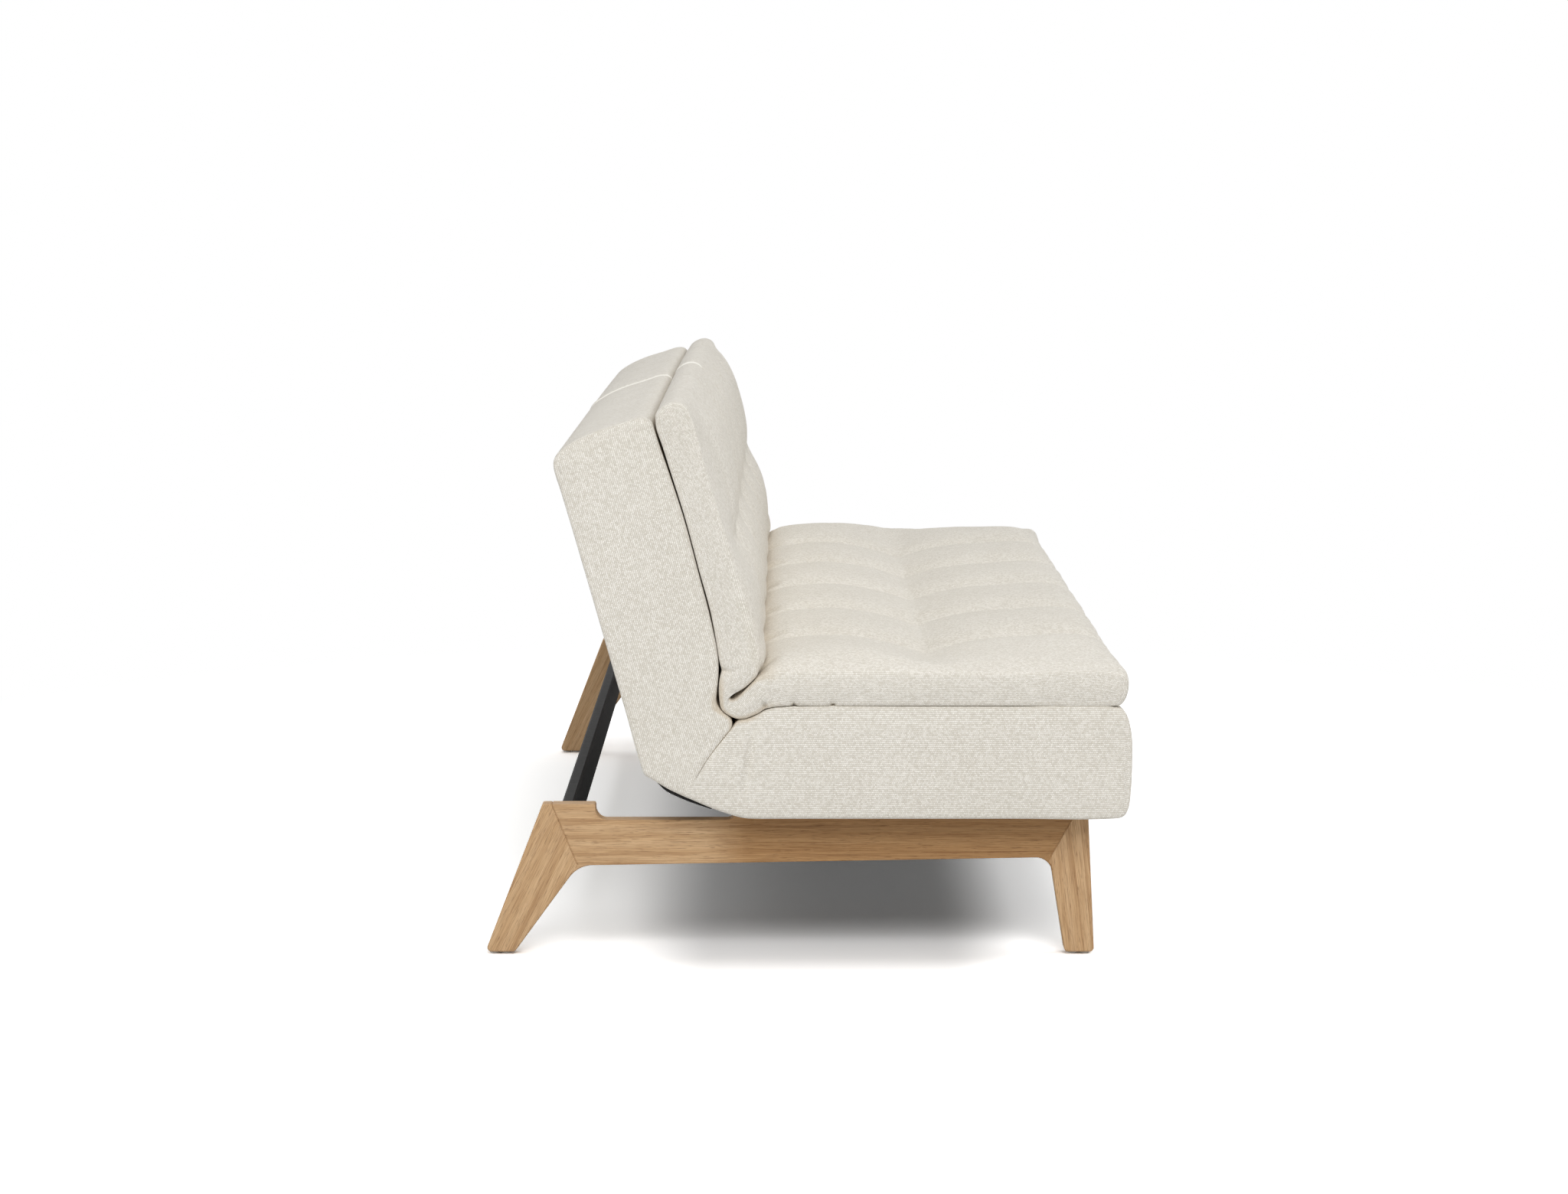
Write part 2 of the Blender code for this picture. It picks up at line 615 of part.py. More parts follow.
def seat_base(foam):
    base = soft_prism("seat_base", seat_base_outline(), -HALF_LENGTH, HALF_LENGTH, foam)
    reach = OAK_OUTER_X + SKIRT_GAP
    low = (-reach, FRONT_TOP_Y - SKIRT_GAP - GAP, SEAT_BOTTOM - CUTTER_REACH)
    high = (reach, BELLY_START_Y, FRAME_TOP + SLAT_THICKNESS + SLAT_BOW + FRAME_SLACK)
    cut(base, bar("seat_base_frame_space", low, high, SKIRT_GAP, None))
    for half, place, x in hinge_middles():
        name = f"seat_base_{half}_{place}_space"
        cut(base, hinge_pocket(name, x, -CUTTER_REACH, HINGE_Z + POCKET_RADIUS))
    return base


def fold_outline():
    """The soft hinge below the back: its lining, the foam above it and the web up the mitre."""
    end_y = back_to_world(BACK_REAR, BACK_FOOT)[0] - BELLY_END
    seat_side = MITRE_OFFSET + WEB / 2 - GAP
    back_side = MITRE_OFFSET - WEB / 2 + GAP
    seat_foot = back_to_world(*mitre_point(seat_side, 0.0))
    corners = [
        (BELLY_START_Y, belly_z(BELLY_START_Y), 0.0),
        (end_y, belly_z(end_y), 0.001),
        (end_y, belly_z(end_y, BELLY_THICKNESS - GAP), 0.001),
        (*back_to_world(BACK_HEEL[0], BACK_HEEL[1] - 2 * GAP), 0.0),
        (*back_to_world(*mitre_point(back_side, 0.0)), 0.0),
        (*back_to_world(*mitre_reach(back_side, FOLD_TOP)), 0.0),
        (*back_to_world(*mitre_reach(seat_side, FOLD_TOP)), 0.0),
        (*seat_foot, 0.0),
        (seat_foot[0], belly_z(seat_foot[0], BELLY_THICKNESS), 0.0),
        (BELLY_START_Y, belly_z(BELLY_START_Y, BELLY_THICKNESS), 0.0),
    ]
    return rounded(corners)


def fold(name, x0, x1, foam, hinges):
    piece = prism(name, fold_outline(), x0, x1, foam)
    for place, x in hinges:
        cut(piece, hinge_pocket(f"{name}_{place}_space", x, BELLY_THICKNESS, HINGE_Z + POCKET_RADIUS))
    return piece


# Upholstery of the back, in the back's own frame

def back_base_outline():
    web_side = MITRE_OFFSET - WEB / 2
    mitre_top = mitre_reach(web_side, FOLD_TOP)
    fold_front = BACK_FRONT + BACK_FOLD_DEPTH
    corners = [
        (BACK_REAR, BACK_FOOT, 0.003),
        (BACK_REAR, BACK_HEIGHT - BACK_TOP_DROP, 0.030),
        (BACK_REAR - BACK_FOAM / 2, BACK_HEIGHT + BACK_TOP_RISE, 0.150),
        (BACK_FRONT, BACK_HEIGHT - 0.002, 0.014),
        (BACK_FRONT, BACK_WAIST, 0.010),
        (fold_front, BACK_WAIST - BACK_FOLD_SLOPE, 0.012),
        (fold_front, mitre_top[1] + 0.003, 0.006),
        (*mitre_top, 0.003),
        (*mitre_point(web_side, 0.0), 0.0),
        (*BACK_HEEL, 0.0),
    ]
    return rounded(corners)


def back_frame_rear():
    return BACK_REAR - BACK_COVER - GAP


def recess_sides(inner_x, outer_x):
    return (inner_x + BACK_FRAME_MARGIN, outer_x - BACK_FRAME_MARGIN)


def back_base(side_name, side, inner_x, outer_x, foam, pivot, hinges):
    x0, x1 = sorted((side * inner_x, side * outer_x))
    base = soft_prism(f"{side_name}_back_base", back_base_outline(), x0, x1, foam, pivot)
    near, far = recess_sides(inner_x, outer_x)
    r0, r1 = sorted((side * near, side * far))
    depth = BACK_COVER + GAP + BACK_TUBE[0] + SLAT_THICKNESS + SLAT_BOW + FRAME_SLACK
    low = (r0, BACK_REAR - depth, BACK_FRAME_FOOT - FRAME_SLACK)
    high = (r1, BACK_REAR + CUTTER_REACH, BACK_FRAME_TOP + FRAME_SLACK)
    cut(base, bar(f"{side_name}_back_base_frame_space", low, high, 0.001, None, pivot))
    half = FORK_WIDTH / 2 + FRAME_SLACK
    for place, x in hinges:
        low = (x - half, -POCKET_RADIUS, -POCKET_RADIUS - CUTTER_REACH)
        high = (x + half, back_frame_rear(), ARM_REACH + FRAME_SLACK)
        cut(base, bar(f"{side_name}_back_base_{place}_space", low, high, 0.0005, None, pivot))
    return base


def back_cover(side_name, side, inner_x, outer_x, cloth, pivot):
    """The cloth panel that closes the back behind its frame."""
    near, far = recess_sides(inner_x, outer_x)
    x0, x1 = sorted((side * (near + GAP), side * (far - GAP)))
    low = (x0, BACK_REAR - BACK_COVER, BACK_FRAME_FOOT - FRAME_SLACK + GAP)
    high = (x1, BACK_REAR, BACK_FRAME_TOP + FRAME_SLACK - GAP)
    return bar(f"{side_name}_back_cover", low, high, BACK_COVER / 4, cloth, pivot)


def back_frame(side_name, side, hinges, steel, beech, pivot):
    """Two uprights beside the hinge arms, a top and a foot tube between them, and bowed slats."""
    rear = back_frame_rear()
    front = rear - BACK_TUBE[0]
    width = BACK_TUBE[1]
    arm_side = ARM_THICKNESS / 2 + GAP
    middle = sum(x for place, x in hinges) / len(hinges)
    edges = []
    for place, x in hinges:
        inward = 1 if x < middle else -1
        x0, x1 = sorted((x + inward * arm_side, x + inward * (arm_side + width)))
        edges.append((x0, x1))
        bar(f"{side_name}_back_tube_{place}", (x0, front, BACK_FRAME_FOOT), (x1, rear, BACK_FRAME_TOP),
            TUBE_EDGE, steel, pivot)
    edges.sort()
    x0 = edges[0][1] + GAP
    x1 = edges[1][0] - GAP
    bar(f"{side_name}_back_tube_foot", (x0, front, BACK_FRAME_FOOT), (x1, rear, BACK_FRAME_FOOT + width),
        TUBE_EDGE, steel, pivot)
    bar(f"{side_name}_back_tube_top", (x0, front, BACK_FRAME_TOP - width), (x1, rear, BACK_FRAME_TOP),
        TUBE_EDGE, steel, pivot)
    outline = slat_outline(BACK_FRAME_FOOT + TUBE_EDGE, BACK_FRAME_TOP - TUBE_EDGE, width)
    points = [(front - GAP - height, along) for along, height in outline]
    for index in range(BACK_SLATS):
        x = x0 + (x1 - x0) * (index + 0.5) / BACK_SLATS
        name = f"{side_name}_back_slat_{index + 1}"
        smooth(prism(name, points, x - SLAT_WIDTH / 2, x + SLAT_WIDTH / 2, beech, pivot))


# Quilted toppers

def seam_share(x):
    """One on a seam between two channels, none in the middle of a channel."""
    return abs(2 * ((x / CHANNEL) % 1.0) - 1) ** 3


def puff(along, x, tuft, depth):
    """Height of a quilted surface over its edge: crowned, drawn down at the seams and at the tuft line."""
    rise = min(1.0, min(along, depth - along) / (CROWN_RUN * depth))
    end = min(1.0, (HALF_LENGTH - abs(x)) / END_RUN)
    seam = seam_share(x)
    if HALF_LENGTH - abs(x) < CHANNEL / 2:
        seam *= END_SEAM
    valley = max(0.0, 1 - abs(along - tuft) / TUFT_SPREAD)
    valley = valley * valley * (3 - 2 * valley)
    crown = CROWN * sin(rise * pi / 2)
    drop = SEAM_DIP * seam * rise + valley * (TUFT_DIP + TUFT_SEAM_DIP * seam)
    return crown * (END_CROWN + (1 - END_CROWN) * end) - drop * (END_DROP + (1 - END_DROP) * end)


def quilted_pad(name, x0, x1, depth, tuft, frame, cloth, parent=None, rows=12, per_channel=6):
    """A pad with a quilted top. frame turns X, the distance from its edge and the height into a place."""
    mesh = bpy.data.meshes.new(name)
    shape = bmesh.new()
    columns = round((x1 - x0) / CHANNEL * per_channel)
    xs = [x0 + PAD_EDGE + (x1 - x0 - 2 * PAD_EDGE) * i / columns for i in range(columns + 1)]
    sides = [PAD_EDGE + (depth - 2 * PAD_EDGE) * j / rows for j in range(rows + 1)]
    top = [[shape.verts.new(frame(x, along, TOPPER + puff(along, x, tuft, depth))) for along in sides]
           for x in xs]
    for i in range(columns):
        for j in range(rows):
            shape.faces.new((top[i][j], top[i + 1][j], top[i + 1][j + 1], top[i][j + 1]))
    border = [(i, 0) for i in range(columns)] + [(columns, j) for j in range(rows)]
    border += [(i, rows) for i in range(columns, 0, -1)] + [(0, j) for j in range(rows, 0, -1)]
    ring = [top[i][j] for i, j in border]
    for height, inset in PAD_LEVELS:
        following = []
        for i, j in border:
            x, along = xs[i], sides[j]
            outwards = PAD_EDGE * (1 - inset)
            scalloped = outwards - SCALLOP * seam_share(x) * 4 * height * (1 - height)
            x += -outwards if i == 0 else outwards if i == columns else 0.0
            along += -scalloped if j == 0 else scalloped if j == rows else 0.0
            following.append(shape.verts.new(frame(x, along, TOPPER * height)))
        count = len(ring)
        for index in range(count):
            after = (index + 1) % count
            shape.faces.new((ring[after], ring[index], following[index], following[after]))
        ring = following
    shape.faces.new(ring[::-1])
    bmesh.ops.recalc_face_normals(shape, faces=shape.faces)
    shape.to_mesh(mesh)
    shape.free()
    return smooth(add_object(name, mesh, cloth, parent), 60)


def seat_topper(cloth):
    bottom = SEAT_BASE_TOP + GAP
    depth = SEAT_TOPPER_REAR_Y - SEAT_TOPPER_FRONT_Y

    def place(x, along, height):
        return (x, SEAT_TOPPER_FRONT_Y + along, bottom + height)

    return quilted_pad("seat_topper", -HALF_LENGTH, HALF_LENGTH, depth, SEAT_TUFT_Y - SEAT_TOPPER_FRONT_Y,
                       place, cloth)


def back_topper(side_name, x0, x1, cloth, pivot):
    depth = BACK_TOPPER_TOP - BACK_TOPPER_FOOT

    def place(x, along, height):
        return (x, BACK_FRONT - GAP - height, BACK_TOPPER_FOOT + along)

    return quilted_pad(f"{side_name}_back_topper", x0, x1, depth, BACK_TUFT - BACK_TOPPER_FOOT, place, cloth,
                       pivot, rows=10)


def topper_fold_outline():
    """The U of topper in the crease, from the end of the seat's topper round a slit to the back's."""
    rear_side = BACK_FRONT + BACK_FOLD_DEPTH - SOFT_GAP
    thickness_start = BACK_FRONT - GAP
    thickness_end = thickness_start - TOPPER
    end_height = BACK_TOPPER_FOOT - GAP
    seat_end_y = SEAT_TOPPER_REAR_Y + GAP
    seat_top = SEAT_BASE_TOP + GAP + TOPPER
    floor_z = SEAT_DIP[1] + SOFT_GAP
    floor_rear = (rear_side, to_back(SEAT_DIP[0], floor_z)[1])
    mouth = back_to_world(thickness_end, end_height - 0.010)
    tip = (SEAT_DIP[0] + 0.003, floor_z + 0.030)
    corners = [
        (seat_end_y, SEAT_BASE_TOP + GAP, 0.0),
        (SEAT_DIP[0] - SEAT_DIP_RUN + 0.002, floor_z + 0.002, 0.020),
        (*back_to_world(*floor_rear), 0.018),
        (*back_to_world(rear_side, BACK_WAIST - 0.025), 0.010),
        (*back_to_world(thickness_start, end_height), 0.0),
        (*back_to_world(thickness_end, end_height), 0.0),
        (*mouth, 0.004),
        (tip[0], tip[1] + SLIT, 0.0),
        (tip[0], tip[1], 0.0),
        (mouth[0] - SLIT, mouth[1] - SLIT, 0.004),
        (seat_end_y, seat_top, 0.0),
    ]
    return rounded(corners)


def topper_fold(name, x0, x1, cloth):
    return smooth(prism(name, topper_fold_outline(), x0, x1, cloth), 50)


# The whole sofa bed

def build():
    for thing in list(bpy.data.objects):
        bpy.data.objects.remove(thing)
    oak = material("oiled oak", (0.56, 0.37, 0.19), 0.55)
    steel = material("black powder coat", (0.03, 0.03, 0.032), 0.5)
    zinc = material("zinc-plated steel", (0.62, 0.62, 0.60), 0.35, 1.0)
    beech = material("beech plywood", (0.66, 0.47, 0.29), 0.6)
    plastic = material("glide plastic", (0.72, 0.72, 0.70), 0.45)
    foam = material("ribbed cream cover", (0.66, 0.62, 0.55), 0.9)
    quilt = material("quilted cream cover", (0.62, 0.59, 0.52), 0.9)
    black_cloth = material("black lining", (0.02, 0.02, 0.02), 0.95)

    end_frame("left", -OAK_OUTER_X, oak, plastic)
    end_frame("right", OAK_INNER_X, oak, plastic)
    crossbar("rear_crossbar", REAR_CROSSBAR_Y, steel)
    crossbar("front_crossbar", FRONT_CROSSBAR_Y, steel)
    seat_frame(steel, beech)
    lining(black_cloth)
    seat_base(foam)
    seat_topper(quilt)

    for side_name, side in (("left", -1), ("right", 1)):
        pivot = bpy.data.objects.new(f"{side_name}_back_pivot", None)
        bpy.context.scene.collection.objects.link(pivot)
        pivot.location = (0.0, HINGE_Y, HINGE_Z)
        pivot.rotation_euler = (-BACK_LEAN, 0.0, 0.0)
        hinges = [(place, x) for half, place, x in hinge_middles() if half == side_name]
        x0, x1 = sorted((side * HALF_GAP, side * HALF_LENGTH))
        for place, x in hinges:
            hinge_fork(f"{side_name}_{place}_hinge_fork", x, zinc)
            hinge_arm(f"{side_name}_{place}_hinge_arm", x, zinc, pivot)
        back_base(side_name, side, HALF_GAP, HALF_LENGTH, foam, pivot, hinges)
        back_cover(side_name, side, HALF_GAP, HALF_LENGTH, quilt, pivot)
        back_frame(side_name, side, hinges, steel, beech, pivot)
        back_topper(side_name, x0, x1, quilt, pivot)
        fold(f"{side_name}_base_fold", x0, x1, black_cloth, hinges)
        topper_fold(f"{side_name}_topper_fold", x0, x1, quilt)
    print("recline in degrees:", round(degrees(RECLINE), 2))


build()
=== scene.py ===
import math

import bpy
import numpy as np
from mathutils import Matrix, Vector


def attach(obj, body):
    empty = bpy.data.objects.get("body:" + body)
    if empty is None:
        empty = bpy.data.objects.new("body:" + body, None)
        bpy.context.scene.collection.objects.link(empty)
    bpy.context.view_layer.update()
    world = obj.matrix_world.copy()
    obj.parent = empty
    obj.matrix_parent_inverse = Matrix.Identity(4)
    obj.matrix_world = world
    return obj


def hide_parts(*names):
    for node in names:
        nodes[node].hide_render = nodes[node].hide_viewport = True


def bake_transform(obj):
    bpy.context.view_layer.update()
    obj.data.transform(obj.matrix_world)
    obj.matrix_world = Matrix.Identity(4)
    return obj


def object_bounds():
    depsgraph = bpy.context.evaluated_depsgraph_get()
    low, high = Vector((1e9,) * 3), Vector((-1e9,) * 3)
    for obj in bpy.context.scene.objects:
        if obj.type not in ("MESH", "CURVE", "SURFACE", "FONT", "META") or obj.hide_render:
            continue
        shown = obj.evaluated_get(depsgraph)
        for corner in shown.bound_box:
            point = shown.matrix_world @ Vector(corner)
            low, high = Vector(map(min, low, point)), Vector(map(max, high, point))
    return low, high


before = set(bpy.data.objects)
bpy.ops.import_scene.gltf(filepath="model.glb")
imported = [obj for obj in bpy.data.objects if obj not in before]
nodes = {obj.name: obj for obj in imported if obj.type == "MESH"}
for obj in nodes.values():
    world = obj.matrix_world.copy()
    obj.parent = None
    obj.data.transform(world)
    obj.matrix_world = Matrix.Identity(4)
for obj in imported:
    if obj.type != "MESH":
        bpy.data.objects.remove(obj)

cadBox = [list(corner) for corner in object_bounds()]


# camera

shot = dict(lens=93.71, place=(-6.677, 0.0325, 1.1365), tilt=83.717, turn=-90.0)


def placeCamera():
    bpy.ops.object.select_all(action="DESELECT")
    bpy.ops.object.camera_add(location=shot["place"],
                              rotation=(math.radians(shot["tilt"]), 0, math.radians(shot["turn"])))
    camera = bpy.context.object
    camera.name = "camera"
    camera.data.lens = shot["lens"]
    camera.data.sensor_width = 36
    bpy.context.scene.camera = camera


placeCamera()
print("camera placed")


# materials: a wire is one socket, so shading is written as sums

def summed(operation, turned=False):
    return lambda wire, other: wire.sum(operation, *((other, wire) if turned else (wire, other)))


class Wire:
    __add__, __radd__ = summed("ADD"), summed("ADD", True)
    __sub__, __rsub__ = summed("SUBTRACT"), summed("SUBTRACT", True)
    __mul__, __rmul__ = summed("MULTIPLY"), summed("MULTIPLY", True)
    __truediv__, __rtruediv__ = summed("DIVIDE"), summed("DIVIDE", True)
    __pow__, __rpow__ = summed("POWER"), summed("POWER", True)
    above = summed("GREATER_THAN")

    def __init__(self, bench, socket):
        self.bench = bench
        self.socket = socket

    def sum(self, operation, *values):
        return self.bench.node("ShaderNodeMath", {"operation": operation}, dict(enumerate(values)))

    def sine(self):
        return self.sum("SINE", self)

    def size(self):
        return self.sum("ABSOLUTE", self)

    def floor(self):
        return self.sum("FLOOR", self)

    def fraction(self):
        return self.sum("FRACT", self)

    def ramp(self, low, high, start=0.0, end=1.0):
        # smooth from start at low to end at high
        return self.bench.node("ShaderNodeMapRange", {"interpolation_type": "SMOOTHSTEP"},
                               {0: self, 1: low, 2: high, 3: start, 4: end})


class Bench:
    # one material, its nodes made through one method
    def __init__(self, name, **fixed):
        self.material = bpy.data.materials.new(name)
        self.material.use_nodes = True
        self.tree = self.material.node_tree
        self.shader = self.tree.nodes["Principled BSDF"]
        for socket, value in fixed.items():
            self.shader.inputs[socket.replace("_", " ")].default_value = value

    def node(self, kind, settings=None, links=None, out=0):
        # out is the output that is wanted, or several of them
        made = self.tree.nodes.new(kind)
        for key, value in (settings or {}).items():
            setattr(made, key, value)
        for key, value in (links or {}).items():
            if isinstance(value, Wire):
                self.tree.links.new(value.socket, made.inputs[key])
            else:
                made.inputs[key].default_value = value
        if isinstance(out, tuple):
            return [Wire(self, made.outputs[each]) for each in out]
        return Wire(self, made.outputs[out])

    def mix(self, share, first, second, how="MIX"):
        first, second = [(*c, 1.0) if isinstance(c, tuple) and len(c) == 3 else c for c in (first, second)]
        return self.node("ShaderNodeMix", {"data_type": "RGBA", "blend_type": how},
                         {0: share, 6: first, 7: second}, 2)

    def place(self, turn=(0, 0, 0), scale=(1, 1, 1), at=(0, 0, 0)):
        spot = self.node("ShaderNodeTexCoord", out=3)
        return self.node("ShaderNodeMapping", {"vector_type": "TEXTURE"},
                         {0: spot, 1: at, 2: tuple(math.radians(a) for a in turn), 3: scale})

    def noise(self, vector, scale, detail=2.0, rough=0.5, seed=0.0):
        return self.node("ShaderNodeTexNoise", {"noise_dimensions": "4D"},
                         {"Vector": vector, "W": seed, "Scale": scale, "Detail": detail, "Roughness": rough})

    def grained(self, parts, scales, detail, rough=0.5, seed=0.0):
        # noise with its own scale along each part of a vector
        vector = self.joined(*[part * scale for part, scale in zip(parts, scales)])
        return self.noise(vector, 1.0, detail, rough, seed)

    def parts(self, vector):
        return self.node("ShaderNodeSeparateXYZ", None, {0: vector}, (0, 1, 2))

    def joined(self, x, y, z=0.0):
        return self.node("ShaderNodeCombineXYZ", None, {0: x, 1: y, 2: z})

    def bump(self, height, strength, distance, normal=None):
        links = {"Height": height, "Strength": strength, "Distance": distance}
        if normal is not None:
            links["Normal"] = normal
        return self.node("ShaderNodeBump", None, links)

    def finished(self, colour, rough, normal):
        for socket, wire in (("Base Color", colour), ("Roughness", rough), ("Normal", normal)):
            self.tree.links.new(wire.socket, self.shader.inputs[socket])
        return self.material


def linear(r, g, b):
    # from the 0 to 255 values that a picture shows
    def one(v):
        v /= 255
        return v / 12.92 if v <= 0.04045 else ((v + 0.055) / 1.055) ** 2.4
    return (one(r), one(g), one(b))


# the fold colour is a painted shade for folds and for the places between cushions
weaveLook = dict(
    pale=(254, 251, 244), dark=(220, 215, 204), valley=(183, 171, 149), fold=(200, 178, 144), hollowShade=0.55,
    yarns=0.68, streaks=0.2, clouds=0.12, foldShade=0.8, edgeHighlight=0.8,
    ribs=0.0027, beads=0.0027, wobble=0.0012, relief=0.66, depth=0.0005,
    seams=0.35, seamWidth=0.003, seamShade=0.5, seamRelief=0.5, seamDepth=0.0012, end=1.02)


def weave(name, quilted=False):
    # thick beaded ribs: U of the piece's weave map runs across them, V along them, both in metres
    look = weaveLook
    bench = Bench(name, Roughness=0.92, Specular_IOR_Level=0.2, Sheen_Weight=0.12, Sheen_Roughness=0.6)
    across, along = bench.parts(bench.node("ShaderNodeUVMap", {"uv_map": "weave"}))[:2]
    wobble = bench.grained((across, along), (40.0, 40.0), 1.0, seed=2.0) - 0.5
    rows = (across + wobble * look["wobble"]) / look["ribs"]
    row = rows.floor()
    rib = (rows * math.pi).sine().size()
    stagger = row * 0.5 + bench.grained((row, along), (0.37, 30.0), 1.0, seed=5.0) * 1.4
    turns = along / look["beads"] + stagger
    bead = (turns * math.pi).sine().size()
    own = bench.node("ShaderNodeTexWhiteNoise", {"noise_dimensions": "2D"},
                     {0: bench.joined(row, turns.floor())})
    yarn = bench.grained((across, along), (1100.0, 700.0), 2.0, seed=1.0)
    height = rib ** 0.7 * (0.4 + 0.6 * bead ** 0.6) + yarn * 0.3 + own * 0.25
    streaks = bench.grained((across, along), (260.0, 130.0), 3.0, 0.6, 3.0).ramp(0.32, 0.68)
    clouds = bench.noise(bench.place(), 7.0, 4.0, 0.6, seed=4.0).ramp(0.3, 0.7)
    hollow = 1.0 - (rib ** 0.6 * (0.55 + 0.45 * bead ** 0.7)).ramp(0.15, 0.95)
    tone = own * look["yarns"] + streaks * look["streaks"] + clouds * look["clouds"]
    colour = bench.mix(tone, linear(*look["dark"]), linear(*look["pale"]))
    # painted shade: the hollows between the ribs and beads take a darker valley colour, for the shade that
    # falls in them
    colour = bench.mix(hollow * look["hollowShade"], colour, linear(*look["valley"]))
    normal = bench.bump(height, look["relief"], look["depth"])
    # painted shade: a darker, browner fold colour mixed in inside folds and between cushions, where shade
    # falls
    shade = bench.node("ShaderNodeAttribute", {"attribute_name": "paintedShading"}, out=2)
    colour = bench.mix(shade.ramp(0.0, 2.0, 0.0, look["foldShade"]), colour, linear(*look["fold"]))
    # painted highlight: the pale colour mixed in along the parting edges of the halves, where they catch the
    # light
    colour = bench.mix(shade.ramp(-0.8, 0.0, look["edgeHighlight"], 0.0), colour, linear(*look["pale"]))
    if quilted:
        x = bench.parts(bench.node("ShaderNodeTexCoord", out=3))[0]
        seam = ((x / look["seams"] + 0.5).fraction() - 0.5).size() * look["seams"]
        line = seam.ramp(0.0, look["seamWidth"], 1.0, 0.0) * (1.0 - x.size().above(look["end"]))
        # painted shade: a darker line along each quilting seam, for the shade in its stitched crease
        colour = bench.mix(line * look["seamShade"], colour, linear(*look["valley"]))
        normal = bench.bump(1.0 - line, look["seamRelief"], look["seamDepth"], normal)
    return bench.finished(colour, 0.86 + 0.12 * hollow, normal)


def liningCloth(name):
    # thin black non-woven lining
    bench = Bench(name, Specular_IOR_Level=0.15)
    spot = bench.place()
    fibres = bench.noise(spot, 900.0, 3.0, 0.6, seed=7.0)
    dimples = bench.node("ShaderNodeTexVoronoi", {"feature": "F1"}, {"Vector": spot, "Scale": 420.0})
    colour = bench.mix(fibres, linear(26, 25, 25), linear(48, 47, 46))
    return bench.finished(colour, 0.85 + 0.12 * fibres,
                          bench.bump(dimples * 0.6 + fibres * 0.5, 0.5, 0.0006))


oakLook = dict(pale=(223, 189, 147), mean=(203, 165, 121), dark=(156, 115, 75), pore=(112, 78, 47),
               rings=0.45, streaks=0.55, grain=0.64, bands=0.46, pores=0.6, flecks=0.18,
               railShade=(0.7, 0.6, 0.46), railShadeSpan=(0.075, 0.15))


def oak(name, turn, at, seed, under=False):
    # grain along local Z once turned; under the seat a painted shade makes it darker and browner, for the
    # seat's shadow on it
    look = oakLook
    bench = Bench(name, Specular_IOR_Level=0.35)
    spot = x, y, z = bench.parts(bench.place((turn, 0, 0), at=at))
    long = bench.joined(x * 1.0, y * 1.0, z * 0.06)
    drift = bench.noise(long, 18.0, 2.0, 0.5, seed=seed) - 0.5
    rings = ((x * 0.35 + y + drift * 0.035) * 300.0).sine() * 0.5 + 0.5
    grain = bench.grained(spot, (1400.0, 1400.0, 26.0), 3.0, 0.6, seed + 1.0)
    streak = bench.grained(spot, (260.0, 260.0, 5.0), 3.0, 0.55, seed + 2.0).ramp(0.3, 0.7)
    pores = bench.grained(spot, (1500.0, 1500.0, 60.0), 1.0, 0.5, seed + 3.0).ramp(0.6, 0.7)
    flecks = bench.grained(spot, (300.0, 90.0, 120.0), 1.0, 0.5, seed + 4.0).ramp(0.68, 0.78)
    bands = bench.grained(spot, (150.0, 150.0, 3.2), 4.0, 0.65, seed + 5.0).ramp(0.5, 0.64)
    colour = bench.mix(rings * look["rings"] + streak * look["streaks"],
                       linear(*look["mean"]), linear(*look["pale"]))
    for mark, share, shade in ((grain.ramp(0.35, 0.7), "grain", "dark"), (bands, "bands", "dark"),
                               (pores, "pores", "pore"), (flecks, "flecks", "pale")):
        colour = bench.mix(mark * look[share], colour, linear(*look[shade]))
    # painted shade: the rail is darker and browner towards the front, under the seat, where the seat's
    # shadow falls
    if under:
        here = bench.parts(bench.node("ShaderNodeTexCoord", out=3))[1]
        colour = bench.mix(here.ramp(*look["railShadeSpan"], 1.0, 0.0), colour, look["railShade"], "MULTIPLY")
    return bench.finished(colour, 0.46 + 0.16 * grain,
                          bench.bump(1.0 - pores * 0.8 - grain * 0.25, 0.35, 0.0004))


def lacquer(name, colour, rough):
    # powder coat or lacquer on steel, with a fine orange peel
    bench = Bench(name, Specular_IOR_Level=0.14)
    spot = bench.place()
    peel = bench.noise(spot, 1300.0, 2.0, 0.5, seed=11.0)
    dust = bench.noise(spot, 60.0, 3.0, 0.6, seed=12.0)
    worn = linear(*[min(255, c + 16) for c in colour])
    shade = bench.mix(dust * 0.5, linear(*colour), worn)
    return bench.finished(shade, rough + 0.12 * dust, bench.bump(peel, 0.25, 0.0003))


def zinc(name):
    # zinc-plated pressed steel
    bench = Bench(name, Metallic=1.0)
    spot = bench.place()
    blotch = bench.noise(spot, 90.0, 3.0, 0.6, seed=21.0)
    brushed = bench.noise(bench.place(scale=(1, 1, 0.05)), 1500.0, 1.0, 0.5, seed=22.0)
    colour = bench.mix(blotch, linear(170, 172, 174), linear(206, 207, 204))
    return bench.finished(colour, 0.28 + 0.22 * blotch + 0.08 * brushed, bench.bump(brushed, 0.15, 0.0002))


